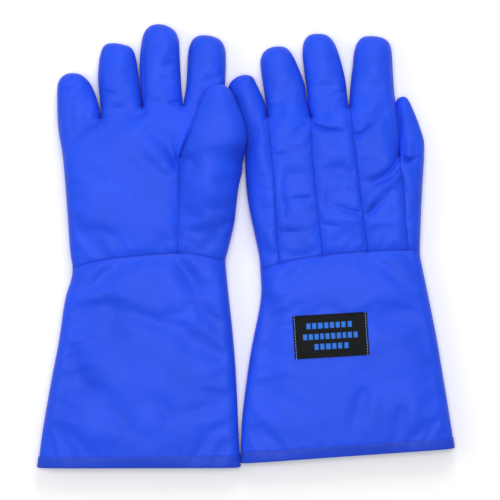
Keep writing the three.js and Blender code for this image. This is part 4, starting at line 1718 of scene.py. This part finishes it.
def right_glove() -> Glove:
    """Returns the glove that lies palm up, with its thumb over the root of its index finger."""
    return Glove(
        side="right",
        left_edge=(
            (-183.2, -194.6), (-178.6, -161.3), (-171.6, -120.6), (-164.6, -84.1), (-159.1, -47.5),
            (-153.8, -30.0), (-152.5, -18.6), (-154.7, -3.5), (-157.3, 33.4), (-160.8, 75.7),
            (-164.6, 100.0), (-165.8, 112.6),
        ),
        digits=(
            Digit("little", (
                (-165.8, 112.6), (-166.0, 138.0), (-164.0, 146.1), (-158.8, 151.0), (-152.0, 152.2),
                (-145.0, 150.7), (-137.6, 144.0), (-131.8, 132.0), (-128.9, 121.4), (-127.8, 112.9),
            ), (113.0, 140.0)),
            Digit("ring", (
                (-127.8, 112.9), (-127.9, 124.1), (-129.4, 137.3), (-130.0, 153.0), (-128.2, 168.0),
                (-124.2, 176.8), (-116.8, 178.6), (-108.0, 177.3), (-100.6, 174.2), (-96.6, 165.0),
                (-94.1, 147.8), (-92.6, 134.0), (-91.1, 122.8),
            ), (122.8, 148.0)),
            Digit("middle", (
                (-91.1, 122.8), (-93.0, 141.7), (-93.5, 158.4), (-92.5, 174.0), (-90.3, 185.5),
                (-86.0, 192.4), (-79.0, 195.2), (-70.6, 194.2), (-62.8, 189.6), (-58.9, 181.0),
                (-58.0, 165.0), (-56.5, 137.3), (-55.2, 124.1),
            ), (124.1, 150.0)),
            Digit("index", (
                (-55.2, 124.1), (-52.6, 139.9), (-51.6, 155.0), (-50.6, 171.0), (-48.3, 179.0),
                (-44.0, 184.0), (-36.7, 185.6), (-27.5, 184.0), (-20.9, 179.5), (-17.8, 171.0),
                (-17.6, 155.0), (-18.3, 139.9), (-19.0, 126.0),
            ), (127.0, 156.0)),
        ),
        right_edge=(
            (-19.0, 126.0), (-18.5, 108.0), (-12.0, 88.0), (-3.0, 71.3), (-6.4, 51.5), (-8.3, 34.3),
            (-10.3, 18.5), (-15.6, -3.5), (-17.8, -12.4), (-17.0, -24.0), (-15.2, -42.1), (-11.7, -75.7),
            (-8.8, -112.2), (-6.8, -154.3), (-5.0, -194.2),
        ),
        root=((-59.2, 70.0), (-3.0, 71.3)),
        root_is_edge=False,
        thumb=Thumb(
            outline=(
                (-59.2, 70.0), (-57.2, 78.0), (-51.3, 93.7), (-43.3, 117.5), (-39.0, 128.5), (-34.4, 136.4),
                (-27.5, 140.8), (-18.3, 139.9), (-11.7, 133.3), (-6.4, 121.4), (-2.2, 110.9), (0.2, 101.6),
                (0.9, 94.5), (-0.6, 84.0), (-3.0, 71.3),
            ),
            edges=((70.0, 24.0, 11.5), (84.0, 30.0, 22.0), (104.0, 33.5, 32.0), (141.0, 34.0, 34.0)),
            crown=((70.0, 42.0), (78.0, 44.4), (86.0, 46.0), (96.0, 47.0), (115.0, 47.5), (141.0, 46.0)),
            belly=((70.0, 16.0), (80.0, 27.6), (141.0, 27.6)),
            bend=((-30.0, 72.0), (-30.0, 98.0)),
            root_drop=10.0,
        ),
        wrist=(
            (-154.5, -20.6), (-140.8, -15.4), (-119.7, -11.2), (-91.7, -8.4), (-57.9, -6.2), (-42.5, -7.7),
            (-15.5, -13.2),
        ),
        hem=((-181.6, -185.0), (-5.4, -183.6)),
        crown=(
            (-195.0, 20.5), (-154.0, 22.5), (-42.0, 24.5), (-11.0, 23.5), (20.0, 25.5), (80.0, 27.0),
            (120.0, 26.5), (140.0, 27.0), (200.0, 27.0),
        ),
        seams=(
            Seam(((-59.2, 70.0), (-59.4, 30.0), (-59.2, -6.3)), 1.5, pucker=0.1, shade=0.7),
            Seam((
                (-164.6, 100.0), (-162.4, 118.0), (-161.8, 136.0), (-159.2, 150.8),
            ), 0.8, pucker=0.15, shade=0.45),
            Seam((
                (-127.8, 112.9), (-125.8, 130.0), (-126.0, 152.0), (-124.2, 176.8),
            ), 0.9, pucker=0.1, shade=0.55),
            Seam((
                (-91.1, 122.8), (-88.6, 136.0), (-88.8, 164.0), (-86.0, 192.4),
            ), 0.8, pucker=0.1, shade=0.45),
            Seam((
                (-55.2, 124.1), (-50.0, 142.0), (-48.8, 162.0), (-46.0, 182.0),
            ), 0.6, pucker=0.1, shade=0.3),
            Seam(((-127.8, 112.9), (-122.0, 60.0), (-118.0, -10.0)), 1.5, Sheet.LOWER),
            Seam(((-91.1, 122.8), (-90.0, 60.0), (-88.0, -8.0)), 1.5, Sheet.LOWER),
            Seam(((-55.2, 124.1), (-60.0, 60.0), (-61.0, -6.0)), 1.5, Sheet.LOWER),
        ),
        folds=(
            Fold(((-60.0, 69.0), (-70.0, 84.0), (-79.0, 99.0), (-87.0, 117.0)), 1.7, 5.0),
            Fold(((-60.0, 69.0), (-64.5, 84.0), (-67.0, 98.0), (-68.0, 110.0)), 1.3, 3.4),
            Fold(((-56.5, 78.0), (-49.0, 76.0), (-39.5, 67.5)), 2.6, 2.6, 0.2),
            # A shallow fold with painted shadow along the thumb's left edge, which stands off the palm and
            # casts too little shadow of its own.
            Fold(((-58.0, 75.0), (-53.4, 88.0), (-46.0, 108.0)), 1.2, 1.5, 0.6),
            Fold(((-128.3, 109.0), (-141.0, 101.0), (-160.0, 83.0)), 1.4, 4.4),
            Fold(((-128.3, 112.0), (-143.0, 107.5), (-161.0, 97.0)), 1.0, 4.0),
            Fold(((-91.5, 121.0), (-103.0, 115.0), (-119.0, 111.0)), 0.9, 5.0),
            Fold(((-56.5, 127.0), (-63.0, 125.0), (-70.0, 125.0)), 1.2, 1.8),
            Fold(((-57.8, 158.8), (-66.0, 159.5), (-73.0, 156.5)), 1.0, 2.4),
            Fold(((-124.5, 135.0), (-117.0, 133.5), (-108.0, 134.5)), 0.8, 2.2),
            Fold(((-97.0, 149.0), (-107.0, 151.0), (-118.0, 148.0)), 0.7, 3.0),
            Fold(((-160.0, 135.0), (-152.0, 141.0), (-142.0, 143.0)), 0.9, 2.6),
            Fold(((-17.6, 154.5), (-22.0, 152.5), (-27.0, 150.0)), 0.8, 2.2),
            Fold(((-10.0, 36.0), (-26.0, 33.0), (-44.0, 35.0)), 1.5, 6.0),
            Fold(((-11.0, 24.0), (-20.0, 19.0), (-29.0, 12.0)), 2.4, 5.5),
            Fold(((-86.0, 118.0), (-97.0, 112.0), (-108.0, 109.0)), 1.0, 3.6),
            Fold(((-20.0, 150.0), (-30.0, 146.0), (-42.0, 143.0)), 1.1, 3.2),
            Fold(((-4.5, 57.0), (-18.0, 58.0), (-34.0, 52.0)), 1.3, 6.0),
            Fold(((-156.0, 28.0), (-148.0, 22.0), (-141.0, 10.0)), 1.2, 4.5),
            Fold(((-50.0, -19.0), (-38.0, -42.0), (-18.0, -75.0)), 1.1, 7.0),
            Fold(((-152.0, -92.0), (-142.0, -116.0), (-126.0, -137.0), (-106.0, -150.0)), 1.3, 9.0),
            Fold(((-100.0, -160.0), (-112.0, -147.0), (-132.0, -134.0)), 1.6, 9.0),
            Fold(((-64.0, -152.0), (-76.0, -140.0), (-96.0, -134.0)), 1.1, 8.0),
            Fold(((-62.0, -12.0), (-44.0, -44.0), (-26.0, -74.0)), 0.9, 6.0),
            Fold(((-121.0, -40.0), (-118.0, -62.0), (-121.0, -86.0)), 0.9, 8.0),
        ),
        gusset_rise=14.5,
        seed=2.0,
    )


def left_glove() -> Glove:
    """Returns the glove that lies back up, with its thumb low beside its index finger."""
    return Glove(
        side="left",
        left_edge=(
            (-4.3, -190.6), (-4.4, -176.0), (-3.0, -150.0), (2.0, -109.1), (6.4, -82.7), (11.7, -56.3),
            (13.6, -40.0), (12.7, -20.4), (11.6, -8.0), (7.3, 12.3), (2.9, 33.4), (0.2, 54.6), (-0.9, 81.0),
        ),
        digits=(
            Digit("little", (
                (-0.9, 81.0), (-2.4, 93.3), (-5.1, 106.5), (-8.8, 119.7), (-13.2, 132.0), (-15.4, 139.0),
                (-12.8, 144.8), (-6.1, 149.6), (1.4, 150.6), (6.4, 148.3), (9.8, 141.6), (14.9, 131.0),
                (17.9, 121.5), (18.6, 113.9),
            ), (114.0, 141.0)),
            Digit("ring", (
                (18.6, 113.9), (17.9, 124.0), (15.4, 141.0), (13.2, 154.6), (12.9, 163.4), (15.6, 170.4),
                (22.0, 174.8), (31.6, 175.6), (37.4, 173.0), (42.6, 165.4), (48.2, 152.4), (52.1, 140.4),
                (53.9, 127.0), (57.1, 113.9),
            ), (114.0, 142.0)),
            Digit("middle", (
                (57.1, 113.9), (54.6, 124.1), (53.5, 139.0), (51.0, 157.0), (49.8, 171.0), (51.3, 180.0),
                (55.7, 185.4), (62.6, 186.8), (70.9, 185.7), (76.8, 180.4), (81.0, 171.6), (85.0, 158.0),
                (88.0, 144.0), (89.4, 131.0), (90.8, 122.1),
            ), (122.2, 150.0)),
            Digit("index", (
                (90.8, 122.1), (92.2, 142.7), (94.0, 158.0), (95.0, 169.0), (97.6, 178.0), (102.6, 183.6),
                (109.0, 184.8), (118.0, 183.9), (124.8, 180.4), (128.2, 172.6), (129.5, 154.0),
                (130.8, 135.0), (133.2, 116.0),
            ), (122.2, 150.0)),
        ),
        right_edge=(
            (133.2, 116.0), (134.9, 105.0), (135.7, 93.3), (134.6, 79.0), (157.0, 78.0), (156.0, 62.0),
            (154.7, 38.3), (153.6, 10.7), (153.2, -5.3), (154.4, -14.1), (157.7, -29.9), (162.1, -51.0),
            (168.3, -82.7), (172.7, -109.1), (177.1, -135.5), (181.0, -160.0), (183.6, -177.4),
        ),
        root=((134.6, 79.0), (157.0, 78.0)),
        root_is_edge=True,
        thumb=Thumb(
            outline=(
                (134.6, 79.0), (133.8, 92.0), (132.8, 106.0), (131.6, 120.0), (132.8, 128.6), (137.0, 131.4),
                (141.0, 131.2), (144.6, 126.3), (149.4, 115.3), (153.5, 104.3), (156.9, 92.0), (157.0, 78.0),
            ),
            edges=((78.0, 12.0, 11.5), (95.0, 9.0, 10.0), (132.0, 8.0, 9.0)),
            crown=((78.0, 23.0), (100.0, 22.0), (132.0, 20.0)),
            belly=((78.0, 0.2), (132.0, 0.2)),
            bend=((146.0, 80.0), (147.0, 106.0)),
        ),
        wrist=(
            (10.5, -22.0), (31.0, -14.7), (66.1, -8.4), (106.7, -4.8), (140.5, -3.5), (148.9, -3.9),
            (155.5, -5.8),
        ),
        hem=((-3.9, -180.6), (182.0, -168.0)),
        crown=(
            (-195.0, 21.0), (-150.0, 22.5), (-38.0, 25.0), (-8.0, 24.0), (20.0, 26.5), (80.0, 29.0),
            (113.0, 28.0), (140.0, 27.5), (200.0, 27.5),
        ),
        seams=(
            Seam((
                (18.6, 113.9), (20.6, 100.1), (22.7, 79.6), (24.8, 59.0), (25.5, 38.3), (26.8, 17.6),
                (29.6, -15.0),
            ), 2.3),
            Seam((
                (57.1, 113.9), (57.1, 104.0), (57.8, 86.4), (59.9, 59.0), (62.6, 31.4), (65.3, 10.7),
                (67.6, -8.1),
            ), 2.2),
            Seam((
                (90.8, 122.1), (92.2, 114.0), (93.5, 100.3), (96.3, 79.6), (99.7, 51.9), (103.0, 22.0),
                (107.3, -4.8),
            ), 2.2),
            Seam(((134.6, 79.0), (135.5, 66.0), (138.2, 51.9), (139.8, 24.6), (142.3, -3.5)), 1.9),
            Seam(((112.0, 78.0), (108.0, 30.0), (104.0, -5.0)), 1.5, Sheet.LOWER),
        ),
        folds=(
            Fold(((133.4, 78.0), (127.0, 67.0), (116.0, 58.5), (100.5, 55.5)), 2.8, 2.8),
            Fold(((134.5, 66.0), (124.0, 58.0), (108.5, 52.0)), 1.8, 2.0),
            Fold(((104.9, 25.4), (116.2, 36.6), (130.0, 50.5)), 1.7, 3.6),
            Fold(((94.2, 96.0), (102.7, 98.4), (121.8, 110.7)), 1.5, 3.0),
            Fold(((57.5, 106.0), (73.5, 100.6), (92.6, 99.4)), 2.0, 2.3),
            Fold(((100.5, 28.0), (80.2, 34.0), (62.3, 38.9)), 1.5, 3.2),
            Fold(((67.0, 20.0), (75.0, 18.0), (84.0, 17.0)), 0.9, 3.0),
            Fold(((95.0, 62.0), (80.0, 64.7), (66.0, 70.0)), 1.2, 6.0),
            Fold(((55.8, 108.0), (46.0, 101.0), (38.0, 90.0)), 1.3, 3.0),
            Fold(((25.0, 79.0), (36.0, 79.6), (50.0, 79.0)), 0.9, 3.0),
            Fold(((58.0, 42.4), (43.0, 41.0), (29.0, 38.5)), 1.0, 3.0),
            Fold(((29.7, 12.0), (45.0, 12.5), (62.3, 13.0)), 0.9, 3.2),
            Fold(((90.2, 136.0), (82.0, 135.0), (71.2, 131.4)), 1.6, 2.2),
            Fold(((19.5, 121.0), (27.0, 122.0), (35.0, 124.5)), 1.0, 2.6),
            Fold(((137.0, 80.0), (143.0, 74.4), (154.0, 81.0)), 2.8, 2.3, 0.35),
            Fold(((136.5, 88.0), (142.6, 83.0), (152.0, 92.0)), 1.5, 2.0),
            Fold(((136.6, 127.0), (136.2, 110.0), (136.6, 90.0)), 1.3, 1.6, 0.2),
            Fold(((-2.0, 92.0), (4.0, 40.0), (11.0, 0.0)), 3.0, 8.0),
            Fold(((14.0, 8.0), (16.0, -4.0), (21.0, -14.0)), 1.6, 4.0),
            Fold(((104.0, -124.0), (97.0, -146.0), (91.0, -171.0)), 1.2, 6.5),
            Fold(((138.0, -140.0), (134.0, -158.0), (139.0, -172.0)), 0.9, 6.0),
            Fold(((16.0, -40.0), (22.0, -68.0), (16.0, -104.0)), 1.2, 7.0),
        ),
        seed=5.0,
    )


def main() -> None:
    """Builds the gloves, dresses them and sets the studio up."""
    logging.basicConfig(level=logging.INFO, format="%(message)s")
    finishes = Finishes()
    stitches = StitchRow()
    gloves = right_glove(), left_glove()
    for glove in gloves:
        glove.shape()
        glove.dress(finishes, stitches)
    pieces = [p for glove in gloves for p in glove.pieces]
    pieces += Label().build(gloves[1], finishes, stitches)
    for piece in pieces:
        LOG.info("%s: %d faces", piece.name, len(piece.data.polygons))
    Studio().build()


if __name__ == "__main__":
    main()
